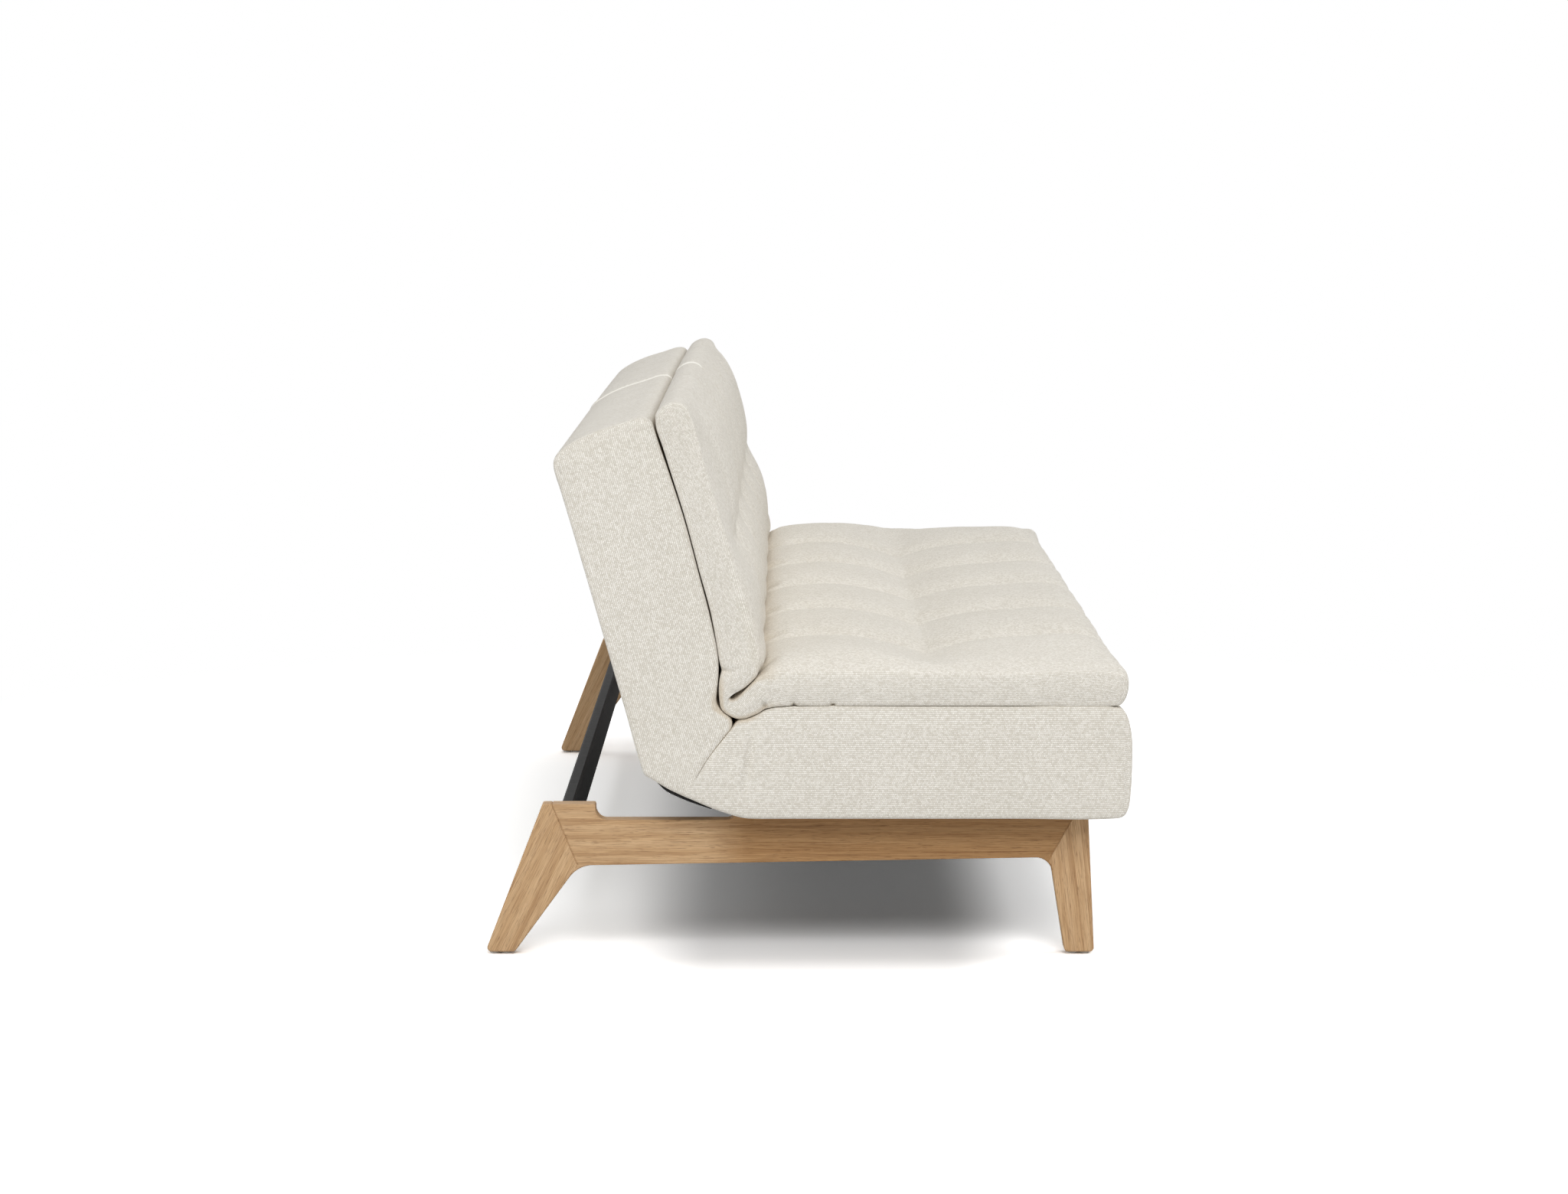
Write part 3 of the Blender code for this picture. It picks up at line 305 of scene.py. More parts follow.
def beech(name):
    # laminated beech slat, grain along the slat
    bench = Bench(name, Specular_IOR_Level=0.35)
    spot = bench.parts(bench.place())
    grain = bench.grained(spot, (700.0, 14.0, 14.0), 3.0, 0.6, 31.0)
    flecks = bench.grained(spot, (900.0, 160.0, 160.0), 1.0, 0.5, 32.0).ramp(0.6, 0.7)
    plies = ((spot[2] * 2400.0).sine() * 0.5 + 0.5) ** 4
    colour = bench.mix(grain, linear(226, 198, 158), linear(205, 172, 128))
    colour = bench.mix(flecks * 0.4, colour, linear(160, 116, 76))
    colour = bench.mix(plies * 0.12, colour, linear(160, 120, 80))
    return bench.finished(colour, 0.45 + 0.2 * grain, bench.bump(grain, 0.2, 0.0003))


def plastic(name):
    # pale moulded glides
    bench = Bench(name, Specular_IOR_Level=0.4)
    spot = bench.place()
    scuff = bench.noise(spot, 700.0, 3.0, 0.6, seed=41.0)
    colour = bench.mix(scuff, linear(214, 212, 206), linear(232, 230, 225))
    return bench.finished(colour, 0.4 + 0.2 * scuff, bench.bump(scuff, 0.15, 0.0003))


clothTop = weave("heathered weave, quilted", True)
clothBase = weave("heathered weave")
blackLining = liningCloth("black lining")


# the carried-over nodes get their finish

signs = dict(left=-1, right=1)
# every oak piece has its own board: the turn of its grain, where its heart lies in y, and its seed;
# the heart's x and z and what the seed grows by come from the side
oakPieces = dict(rear_leg=(26.0, 0.37, 3.0), rail=(90.0, 0.32, 10.0), front_leg=(-6.5, 0.27, 17.0))
oakSides = dict(left=(-0.955, 0.1, 0.0), right=(0.955, 0.113, 50.0))
finishes = {"frame": lacquer("black lacquer", (14, 14, 15), 0.55), "hinges": zinc("zinc plate"),
            "slats": beech("beech laminate"), "glides": plastic("moulded glide"), "lining": blackLining}


def dressNodes():
    for name, thing in nodes.items():
        slots = thing.data.materials
        wanted = slots[0].name.split(".")[0] if slots and slots[0] else ""
        side, part = name.split("_", 1)
        if part in oakPieces:
            (turn, y, seed), (x, z, more) = oakPieces[part], oakSides[side]
            slots[0] = oak("oak " + name.replace("_", " "), turn, (x, y, z), seed + more, part == "rail")
        if wanted in finishes:
            slots[0] = finishes[wanted]


dressNodes()
print("finishes on the carried-over nodes")


# cushions: a block of quads, then each point goes to its place in the profile

def addGrid(name, across, along, size=1, place=(0, 0, 0)):
    bpy.ops.object.select_all(action="DESELECT")
    bpy.ops.mesh.primitive_grid_add(x_subdivisions=across, y_subdivisions=along, size=size, location=place)
    made = bpy.context.object
    made.name = name
    return made


def softBlock(name, across, along, through):
    block = addGrid(name, across, along, place=(0.5, 0.5, 0))
    block.data.name = name
    bpy.ops.object.transform_apply(location=True, rotation=True, scale=True)
    bpy.ops.object.mode_set(mode="EDIT")
    bpy.ops.mesh.select_all(action="SELECT")
    bpy.ops.mesh.extrude_region_move(TRANSFORM_OT_translate={"value": (0, 0, 1)})
    bpy.ops.mesh.select_all(action="DESELECT")
    bpy.ops.mesh.select_mode(type="EDGE")
    bpy.ops.object.mode_set(mode="OBJECT")
    upright = block.data
    for edge in upright.edges:
        low, high = (upright.vertices[i].co.z for i in edge.vertices)
        edge.select = abs(high - low) > 0.5
    bpy.ops.object.mode_set(mode="EDIT")
    bpy.ops.mesh.subdivide(number_cuts=through - 1)
    bpy.ops.mesh.select_all(action="SELECT")
    bpy.ops.mesh.normals_make_consistent(inside=False)
    bpy.ops.mesh.select_all(action="DESELECT")
    bpy.ops.object.mode_set(mode="OBJECT")
    return block


def readings(items, what, width, kind=float):
    values = np.empty(len(items) * width, kind)
    items.foreach_get(what, values)
    return values.reshape(-1, width)


def coordinates(pad):
    return readings(pad.data.vertices, "co", 3)


def setCoordinates(pad, co):
    pad.data.vertices.foreach_set("co", co.ravel())


def blockPoints(block, counts):
    # a block's vertices, and how many whole steps each lies across, along and through it
    co = coordinates(block)
    return co, [np.rint(co[:, i] * counts[i]).astype(int) for i in range(3)]


def faceOutward():
    bpy.ops.object.mode_set(mode="EDIT")
    bpy.ops.mesh.select_all(action="SELECT")
    bpy.ops.mesh.normals_make_consistent(inside=False)
    bpy.ops.object.mode_set(mode="OBJECT")


def cover(thing, material):
    thing.data.materials.clear()
    thing.data.materials.append(material)


def curveAt(points, k):
    # a smooth line through points; k counts from point to point
    p = np.array(points, float)
    step = np.diff(p, axis=0)
    h = np.maximum(np.linalg.norm(step, axis=1), 1e-9)
    d = step / h[:, None]
    m = np.empty_like(p)
    m[0], m[-1] = d[0], d[-1]
    m[1:-1] = (d[:-1] * h[1:, None] + d[1:] * h[:-1, None]) / (h[:-1] + h[1:])[:, None]
    i = np.clip(np.floor(k).astype(int), 0, len(h) - 1)
    f = (k - i)[:, None]
    u, v = m[i] * h[i, None], m[i + 1] * h[i, None]
    return ((2 * f ** 3 - 3 * f ** 2 + 1) * p[i] + (f ** 3 - 2 * f ** 2 + f) * u
            + (3 * f ** 2 - 2 * f ** 3) * p[i + 1] + (f ** 3 - f ** 2) * v)


def length(points):
    return np.concatenate([[0.0], np.cumsum(np.linalg.norm(np.diff(points, axis=0), axis=1))])


def stationsAlong(low, high, sizes):
    # where the profile is cut, from the wanted length of the faces at each guide
    fine = np.linspace(0, len(low) - 1, 4000)
    longer = np.maximum(length(curveAt(low, fine)), length(curveAt(high, fine)))
    places, values = zip(*sizes)
    wanted = np.interp(fine[1:], places, values)
    count = np.concatenate([[0.0], np.cumsum(np.diff(longer) / wanted)])
    total = max(2, round(count[-1]))
    return np.interp(np.arange(total + 1) * count[-1] / total, count, fine)


def wallLine(points, layers):
    p = np.array(points, float)
    fine = curveAt(p, np.linspace(0, len(p) - 1, 400))
    run = length(fine)
    share = np.linspace(0, run[-1], layers + 1)
    return np.stack([np.interp(share, run, fine[:, 0]), np.interp(share, run, fine[:, 1])], axis=1)


def profileOf(cfg):
    # grid of points over the cut, and what one metre of inset moves each;
    # each guide runs through the cut: y and z at its lower end, then at its upper
    low = [row[:2] for row in cfg["guides"]]
    high = [row[2:] for row in cfg["guides"]]
    k = stationsAlong(low, high, cfg["sizes"])
    layers = cfg["layers"]
    bottom, top = curveAt(low, k), curveAt(high, k)
    front = wallLine([low[0]] + cfg["front"] + [high[0]], layers)
    rear = wallLine([low[-1]] + cfg["rear"] + [high[-1]], layers)

    def filled(bottom, top, front, rear):
        share = np.linspace(0, 1, layers + 1)[None, :, None]
        grid = bottom[:, None] * (1 - share) + top[:, None] * share
        run = length((bottom + top) / 2)
        for wall, away, end in ((front, run, 0), (rear, run[-1] - run, -1)):
            straight = bottom[end] * (1 - share[0]) + top[end] * share[0]
            fade = np.exp(-away / cfg.get("wallFade", 0.03))
            grid += fade[:, None, None] * (wall - straight)[None]
        grid[0], grid[-1] = front, rear
        grid[:, 0], grid[:, -1] = bottom, top
        return grid

    loop = np.concatenate([bottom, rear[1:-1], top[::-1], front[::-1][1:-1]])
    along = np.roll(loop, -1, axis=0) - np.roll(loop, 1, axis=0)
    outward = np.stack([along[:, 1], -along[:, 0]], axis=1)
    outward /= np.linalg.norm(outward, axis=1)[:, None]
    n, m = len(k), layers + 1
    outBottom, outRear = outward[:n], outward[n:n + m - 2]
    outTop = outward[n + m - 2:2 * n + m - 2][::-1]
    outFront = outward[2 * n + m - 2:][::-1]
    outFront = np.concatenate([outBottom[:1], outFront, outTop[:1]])
    outRear = np.concatenate([outBottom[-1:], outRear, outTop[-1:]])
    tuck, under = [np.interp(k, *zip(*cfg.get(rows, [(0, 1.0)])))[:, None] for rows in ("tuck", "under")]
    inner = filled(bottom - outBottom * under, top - outTop * tuck, front - outFront, rear - outRear)
    return k, filled(bottom, top, front, rear), inner - filled(bottom, top, front, rear), outTop


def columnsBetween(cfg):
    # across the piece: even faces, close together at the rounded ends and where the piece asks
    x0, x1 = cfg["ends"]
    radius = cfg["radius"]
    near = [radius * (1 - math.cos(a)) for a in np.linspace(0, math.pi / 2, 5)] + [radius * 1.7]
    inner = [x0 + near[-1], *sorted(cfg.get("cuts", ())), x1 - near[-1]]
    places = [x0 + v for v in near[:-1]]
    for a, b in zip(inner[:-1], inner[1:]):
        count = max(1, round((b - a) / cfg["across"]))
        places += list(a + (b - a) * np.arange(count) / count)
    return np.array(places + [x1 - v for v in near[::-1]])


def shapePad(cfg, name):
    x0, x1 = cfg["ends"]
    xs = columnsBetween(cfg)
    k, grid, inset, outTop = profileOf(cfg)
    layers = cfg["layers"]
    last = len(xs) - 1
    counts = (last, len(k) - 1, layers)
    pad = softBlock(name, *counts)
    co, (a, b, c) = blockPoints(pad, counts)
    x = xs[a]
    # ends: rounded by an inset of the profile, then bulged
    radius = cfg["radius"]
    run = length(grid[:, -1])
    reach = np.zeros(len(co))
    for side, end, whole in ((0, x0, cfg.get("roundStart")), (1, x1, cfg.get("roundEnd"))):
        away = np.abs(x - end)
        part = np.clip(away / radius, 0, 1)
        share = whole(k[b]) if whole else 1.0
        reach += radius * (1 - np.sqrt(np.clip(1 - (1 - part) ** 2, 0, 1))) * share
    points = grid[b, c] + inset[b, c] * reach[:, None]
    onEnd = (a == 0) | (a == last)
    height = c / layers
    rimward = np.minimum(np.minimum(run[b], run[-1] - run[b]),
                         np.minimum(height, 1 - height) * np.linalg.norm(grid[b, -1] - grid[b, 0], axis=1))
    dome = 1 - (1 - np.clip(rimward / cfg["domeReach"], 0, 1)) ** 2
    flat = cfg["dome"] * (1 - dome)
    x = x + np.where(a == 0, 1, 0) * flat - np.where(a == last, 1, 0) * flat
    x = x + np.where(onEnd, 0, np.where(a < last / 2, 1, -1)) * cfg["dome"] * np.clip(
        1 - np.abs(xs[a] - np.where(a < last / 2, x0, x1)) / radius, 0, 1)
    if "rise" in cfg:
        lift = cfg["rise"](xs[a], grid[b, -1, 0], grid[b, -1, 1], k[b]) * (c / layers)
        points = points + outTop[b] * lift[:, None]
    co[:, 0], co[:, 1:] = x, points
    if "carve" in cfg:
        cfg["carve"](co, xs[a], c, k[b])
    setCoordinates(pad, co)
    # painted shade inside folds and between cushions, and a painted highlight on the parting edges, kept as
    # a point attribute
    if "paintedShading" in cfg:
        outside = (c == layers) | (c == 0) | (b == 0) | (b == len(k) - 1)
        folded = np.where((c == layers) | (cfg["shadedUnder"] & (c == 0)), k[b], 0.0)
        # painted highlight along the parting edges near the middle
        highlitEdge = (np.abs(xs[a]) < cfg["edge"]) & outside & (k[b] > cfg["splitFrom"])
        inward = np.minimum(xs[a] - x0, x1 - xs[a]) > radius * 1.2
        paintShadeAndHighlight(pad, cfg, folded, highlitEdge, inward & (c == cfg["shadeBetweenLayer"]) & (b > 1) & (b < len(k) - 2))
    mapWeave(pad.data, a, b, c, xs, run, grid, layers, radius)
    pad.data.update()
    return pad, (a, b, c, k[b])


def paintShadeAndHighlight(pad, cfg, k, highlitEdge, between):
    # painted shade: 1 inside a fold and 2 between two cushions, where a darker, browner tone stands in for
    # the shade there; painted highlight: -1 on edges that catch the light
    inside = np.where(highlitEdge, -1.0, np.where(between, 2.0, np.interp(k, *zip(*cfg["paintedShading"]))))
    layer = pad.data.attributes.new("paintedShading", "FLOAT", "POINT")
    layer.data.foreach_set("value", inside.astype(np.float32))


def mapWeave(mesh, a, b, c, xs, run, grid, layers, radius):
    # the weave map in metres: over the top and down the ends and walls in one piece
    last = len(xs) - 1
    mid = (xs[0] + xs[-1]) / 2
    half = (xs[-1] - xs[0]) / 2
    away = half - np.abs(xs - mid)
    curl = radius * np.where(away < radius, math.pi / 2 - np.arccos(np.clip(1 - away / radius, -1, 1)), 0)
    flat = np.where(away < radius, half - radius + curl, half - away)
    flat = mid + np.sign(xs - mid) * flat
    corners = readings(mesh.loops, "vertex_index", 1, int).reshape(-1, 4)
    thick = np.linalg.norm(grid[:, -1] - grid[:, 0], axis=1)
    u, v = flat[a[corners]], run[b[corners]].copy()
    down = (1 - c[corners] / layers) * thick[b[corners]]
    for end, sign in ((0, -1), (last, 1)):
        wall = (a[corners] == end).all(axis=1)
        u[wall] += sign * down[wall]
    wall = (b[corners] == 0).all(axis=1)
    v[wall] -= down[wall]
    wall = (b[corners] == len(run) - 1).all(axis=1)
    v[wall] += down[wall]
    while mesh.uv_layers:
        mesh.uv_layers.remove(mesh.uv_layers[0])
    layer = mesh.uv_layers.new(name="weave")
    layer.data.foreach_set("uv", np.stack([u, v], axis=2).ravel())


def swell(pad, cfg, held):
    # cloth under a little pressure between its seams; each point may move only so far
    before = coordinates(pad)
    group = pad.vertex_groups.new(name="held")
    for weight in np.unique(np.round(held, 1)):
        if weight > 0:
            group.add([int(i) for i in np.nonzero(np.round(held, 1) == weight)[0]], float(weight), "REPLACE")
    cloth = pad.modifiers.new("swell", "CLOTH")
    settings = cloth.settings
    settings.quality = 4
    settings.mass = 0.2
    settings.tension_stiffness = settings.compression_stiffness = cfg["stiff"]
    settings.shear_stiffness = cfg["stiff"] * 0.4
    settings.bending_stiffness = cfg["bend"]
    settings.use_pressure = True
    settings.uniform_pressure_force = cfg["pressure"]
    settings.shrink_min = cfg["shrink"]
    settings.vertex_group_mass = "held"
    settings.pin_stiffness = 1.0
    settings.effector_weights.gravity = 0
    cloth.collision_settings.use_collision = False
    scene = bpy.context.scene
    for number in range(1, cfg["frames"] + 1):
        scene.frame_set(number)
    bpy.context.view_layer.objects.active = pad
    bpy.ops.object.modifier_apply(modifier="swell")
    scene.frame_set(1)
    move = coordinates(pad) - before
    far = np.linalg.norm(move, axis=1)[:, None]
    move *= np.minimum(1.0, cfg["cap"] / np.maximum(far, 1e-9)) * (1 - held[:, None])
    setCoordinates(pad, before + move)
    pad.vertex_groups.clear()
    print(pad.name, "swelled by at most", round(float(far.max()) * 1000, 1), "mm")


def pressed(pad, half, lines):
    # lines drawn into the outer end; each has points, a depth inward and a width
    co = coordinates(pad)
    outer = np.clip((np.abs(co[:, 0]) - half + 0.012) / 0.004, 0, 1)
    for points, depth, width in lines:
        p = np.array(points, float)
        run = length(p)
        near = np.full(len(co), 1e9)
        share = np.zeros(len(co))
        for i, (start, end) in enumerate(zip(p[:-1], p[1:])):
            d = end - start
            t = np.clip(((co[:, 1:] - start) @ d) / (d @ d), 0, 1)
            far = np.linalg.norm(co[:, 1:] - start - t[:, None] * d, axis=1)
            closer = far < near
            near[closer] = far[closer]
            share[closer] = ((run[i] + t * (run[i + 1] - run[i])) / run[-1])[closer]
        amount = depth * np.exp(-(near / width) ** 2) * np.sin(math.pi * (0.08 + 0.84 * share)) ** 0.7
        co[:, 0] -= np.sign(co[:, 0]) * amount * outer
    setCoordinates(pad, co)
    pad.data.update()


def finishPad(pad, material, half=0.0, lines=()):
    bpy.ops.object.select_all(action="DESELECT")
    pad.select_set(True)
    bpy.context.view_layer.objects.active = pad
    finer = pad.modifiers.new("finer", "SUBSURF")
    finer.levels = finer.render_levels = 1
    bpy.ops.object.modifier_apply(modifier="finer")
    pressed(pad, half, lines)
    bpy.ops.object.shade_smooth()
    cover(pad, material)


def shapeHalf(cfg, name, sign):
    # at the middle the halves part only above the fold
    parting = lambda k: np.clip((k - cfg["partFrom"]) / 8, 0, 1)
    cfg["roundEnd" if sign < 0 else "roundStart"] = parting
    pad, (a, b, c, k) = shapePad(cfg, name)
    partHalves(pad, cfg, sign, a, parting(k))
    settle(pad, cfg, sign)
    return pad, (a, b, c, k)


def partHalves(pad, cfg, sign, a, parting):
    # at the middle the halves meet on the seat and leave a gap between the backs
    co = coordinates(pad)
    reach = np.clip(1 - np.abs(co[:, 0]) / cfg["partWidth"], 0, 1)
    co[:, 0] += sign * cfg["gap"] * parting * reach
    border = (a == a.max()) if sign < 0 else (a == 0)
    co[border, 0] = sign * cfg["gap"] * parting[border]
    setCoordinates(pad, co)
    # where they meet the edge stays sharp, so no groove opens between them
    ends = readings(pad.data.edges, "vertices", 2, int)
    meets = (border & (parting < 0.1))[ends].all(axis=1)
    crease = pad.data.attributes.new("crease_edge", "FLOAT", "EDGE")
    crease.data.foreach_set("value", meets.astype(np.float32))


def settle(pad, cfg, sign):
    # the right back sinks a little towards its outer end, and its inner edge stands above its neighbour
    if sign < 0:
        return
    co = coordinates(pad)
    (drop, dropFrom), (ridge, ridgeFrom, ridgeWidth) = cfg["droop"], cfg["ridge"]
    top = cadBox[1][2]
    low = np.clip((co[:, 2] - dropFrom) / (top - dropFrom), 0, 1)
    outward = np.clip(co[:, 0] / cfg["half"], 0, 1)
    high = np.clip((co[:, 2] - ridgeFrom) / ridgeWidth, 0, 1)
    co[:, 2] += ridge * high * np.clip(1 - co[:, 0] / ridgeWidth, 0, 1) - drop * low * outward ** 2
    setCoordinates(pad, co)


def smoothTable(rows):
    # a smooth function through rows of place and value, the values in millimetres
    places, values = np.array(rows, float).T
    k = lambda at: np.interp(at, places, np.arange(len(places)))
    return lambda at: curveAt(np.stack([places, values / 1000], axis=1), k(at))[:, 1]


# the quilted mattress: seat, fold and back of each half in one piece

mattress = dict(
    half=1.05, gap=0.0015, partWidth=0.03, edge=0.003, inner=0.004, layers=5, across=0.0105, radius=0.008,
    dome=0.0015, domeReach=0.02,
    lean=math.radians(16.05), hinge=(0.18, 0.265), seatEdge=0.4112, backEdge=0.158,
    guides=[
        (-0.4375, 0.3642, -0.4435, 0.4085), (-0.43, 0.3634, -0.434, 0.4112),
        (-0.3, 0.3632, -0.3, 0.4115), (-0.15, 0.3632, -0.15, 0.4112),
        (-0.02, 0.3632, -0.02, 0.4112), (0.03, 0.363, 0.03, 0.4112),
        (0.048, 0.3615, 0.048, 0.4108), (0.059, 0.3588, 0.06, 0.4092),
        (0.0665, 0.3542, 0.0695, 0.404), (0.0755, 0.3498, 0.078, 0.3955),
        (0.085, 0.3462, 0.0877, 0.3856), (0.097, 0.345, 0.0964, 0.3768),
        (0.1078, 0.3491, 0.1045, 0.3722), (0.115, 0.3535, 0.109, 0.3745),
        (0.1205, 0.359, 0.107, 0.38), (0.1222, 0.3672, 0.0995, 0.3822),
        (0.1232, 0.378, 0.0893, 0.3878), (0.1235, 0.388, 0.0788, 0.3964),
        (0.1222, 0.403, 0.0705, 0.4052), (0.1195, 0.414, 0.0668, 0.415),
        (0.1218, 0.423, 0.0662, 0.428), (0.1255, 0.445, 0.0705, 0.448),
        (0.1345, 0.494, 0.0845, 0.497), (0.1505, 0.553, 0.101, 0.5565),
        (0.1703, 0.628, 0.119, 0.625), (0.1884, 0.686, 0.1352, 0.685),
        (0.2022, 0.73, 0.148, 0.733), (0.2094, 0.751, 0.156, 0.759),
        (0.211, 0.77, 0.1665, 0.782)],
    sizes=[(0, 0.006), (1, 0.008), (2, 0.011), (3, 0.01), (4, 0.005), (20, 0.005), (22, 0.011), (26, 0.011),
           (27, 0.007), (28, 0.006)],
    front=[(-0.4435, 0.374), (-0.4468, 0.39), (-0.446, 0.402)],
    rear=[(0.206, 0.7778), (0.195, 0.785), (0.183, 0.7888), (0.174, 0.787)],
    tuck=[(6, 1.0), (8, 0.22), (9.5, 0.05), (10.5, 0.08), (12, 0.14), (14, 0.14), (15.5, 0.08), (16.5, 0.05),
          (18.5, 0.22), (20.5, 1.0)],
    under=[(5, 1.0), (7, 0.35), (9, 0.25), (13, 0.3), (14.5, 0.6), (17, 0.5), (18.5, 0.3), (20.5, 0.3),
           (22, 0.8), (28, 1.0)],
    seatTo=6.6, backFrom=19.5,
    seatCrown=[(-0.445, 0), (-0.435, 5), (-0.42, 9.5), (-0.4, 14), (-0.37, 16.5), (-0.34, 17),
               (-0.3, 16.5), (-0.27, 14.2), (-0.25, 11.5), (-0.222, 5.5), (-0.197, -2), (-0.173, -8),
               (-0.153, -3.5), (-0.135, 3), (-0.11, 9.5), (-0.085, 15), (-0.06, 18.5), (-0.03, 19.5),
               (0.0, 17), (0.0255, 12.5), (0.045, 6), (0.062, 0)],
    seatSeam=[(-0.445, -2), (-0.435, -3), (-0.4, -5), (-0.34, -7), (-0.27, -8), (-0.25, -9.5),
              (-0.222, -13), (-0.197, -18), (-0.173, -22), (-0.153, -19), (-0.135, -15.5), (-0.11, -11),
              (-0.085, -8), (-0.06, -6), (-0.03, -5), (0.0, -4), (0.035, 0), (0.062, 0)],
    seatEnd=[(-0.445, 3), (-0.435, 2), (-0.425, -3), (-0.41, -7), (-0.38, -8), (-0.35, -6.5), (-0.33, -5),
             (-0.3, -3), (-0.27, -2.5), (-0.23, 0), (-0.206, 3), (-0.187, 5), (-0.167, 7), (-0.12, 7),
             (-0.09, 5.5), (-0.06, 3), (0.062, 3)],
    backCrown=[(0.14, 0), (0.155, 5), (0.18, 11), (0.22, 15), (0.25, 11), (0.27, 5), (0.285, 2), (0.3, 5),
               (0.32, 10.5), (0.355, 15), (0.39, 16), (0.43, 14.5), (0.465, 9), (0.49, 3), (0.504, 0)],
    backSeam=[(0.14, 0), (0.155, -2), (0.18, -4), (0.22, -6), (0.25, -13), (0.285, -25), (0.32, -14),
              (0.355, -7), (0.39, -5), (0.43, -4), (0.465, -3), (0.49, -2), (0.504, 0)],
    backEnd=[(0.1, 4), (0.14, 5), (0.19, 6), (0.25, 5), (0.285, 4), (0.31, 0), (0.335, -4), (0.36, -7.5),
             (0.4, -9.5), (0.435, -10), (0.465, -6), (0.49, -2), (0.504, 0)],
    endFrom=0.09, endFade=0.1, endRound=0.02,
    round=2.7, splitFrom=21, shadedUnder=True, shadeBetweenLayer=0, droop=(0.009, 0.6), ridge=(0.003, 0.7, 0.04),
    # where along the profile the painted fold shade lies
    paintedShading=[(5.0, 0), (6.0, 0.6), (7.2, 0.9), (8.6, 1), (17.2, 1), (18.6, 0.5), (21.5, 0.3), (23.0, 0)],
    seams=0.35, partFrom=9, seamHold=(1.4, 0.012), topHold=(27, 0.8), endHold=(0.16, 21, 0.7),
    lines=[([(0.0597, 0.359), (0.0597, 0.367)], 0.01, 0.0036),
           ([(0.0187, 0.361), (0.0187, 0.368)], 0.01, 0.0036),
           ([(-0.0357, 0.361), (-0.0357, 0.368)], 0.01, 0.0036),
           ([(0.1216, 0.4138), (0.108, 0.412)], 0.006, 0.003),
           ([(0.064, 0.37), (0.056, 0.385), (0.05, 0.4)], -0.0012, 0.007),
           ([(0.09, 0.359), (0.076, 0.372), (0.065, 0.388)], -0.0015, 0.006),
           ([(0.101, 0.364), (0.088, 0.372), (0.076, 0.385)], 0.0012, 0.004)],
    bend=0.6, stiff=12.0, pressure=3.0, shrink=-0.012, frames=16, cap=0.006)


def quiltRise(x, y, z, k):
    cfg = mattress
    seat = k < cfg["seatTo"]
    back = k > cfg["backFrom"]
    u = (y - cfg["hinge"][0]) * math.sin(cfg["lean"]) + (z - cfg["hinge"][1]) * math.cos(cfg["lean"])
    crown, seam, atEnd = [np.where(seat, smoothTable(cfg["seat" + row])(y),
                                   np.where(back, smoothTable(cfg["back" + row])(u), 0))
                          for row in ("Crown", "Seam", "End")]
    share = np.abs(2 * np.mod(x / cfg["seams"], 1.0) - 1) ** cfg["round"]
    fromEnd = cfg["half"] - np.abs(x)
    share = np.where(fromEnd < cfg["seams"] / 2, 0.0, share)
    fade = 1 - (1 - np.clip(fromEnd / cfg["seams"] * 2, 0, 1)) ** cfg["round"]
    atEnd = atEnd * (1 - np.clip((fromEnd - cfg["endFrom"]) / cfg["endFade"], 0, 1))
    return (crown + (seam - crown) * share) * fade + atEnd * np.clip(fromEnd / cfg["endRound"], 0, 1)


def heldAlongSeams(cfg, x, c):
    toSeam = np.abs(np.mod(x / cfg["seams"] + 0.5, 1.0) - 0.5) * cfg["seams"]
    most, width = cfg["seamHold"]
    return np.where(c == 0, 1.0, np.where(c == cfg["layers"], np.clip(most - toSeam / width, 0, 1), 0.0))


def makeMattress(side):
    sign = signs[side]
    cfg = dict(mattress, rise=quiltRise, ends=tuple(sorted((0.0, sign * mattress["half"]))))
    pad, (a, b, c, k) = shapeHalf(cfg, side + "_mattress", sign)
    x = coordinates(pad)[:, 0]
    (top, topShare), (near, above, endShare) = cfg["topHold"], cfg["endHold"]
    held = np.maximum(heldAlongSeams(cfg, x, c), np.where(k > top, topShare, 0.0))
    held[np.abs(x) < cfg["inner"]] = 1.0
    outer = (np.abs(x) > cfg["half"] - near) & (k > above)
    held = np.maximum(held, np.where(outer, endShare, 0.0))
    swell(pad, cfg, held)
    finishPad(pad, clothTop, cfg["half"], cfg["lines"])
    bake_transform(pad)
    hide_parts("seat_topper", side + "_topper_fold", side + "_back_topper")


for side in signs:
    makeMattress(side)
print("mattress halves made")


# the base cushion under it: each half runs from the seat round the fold to the top of the back

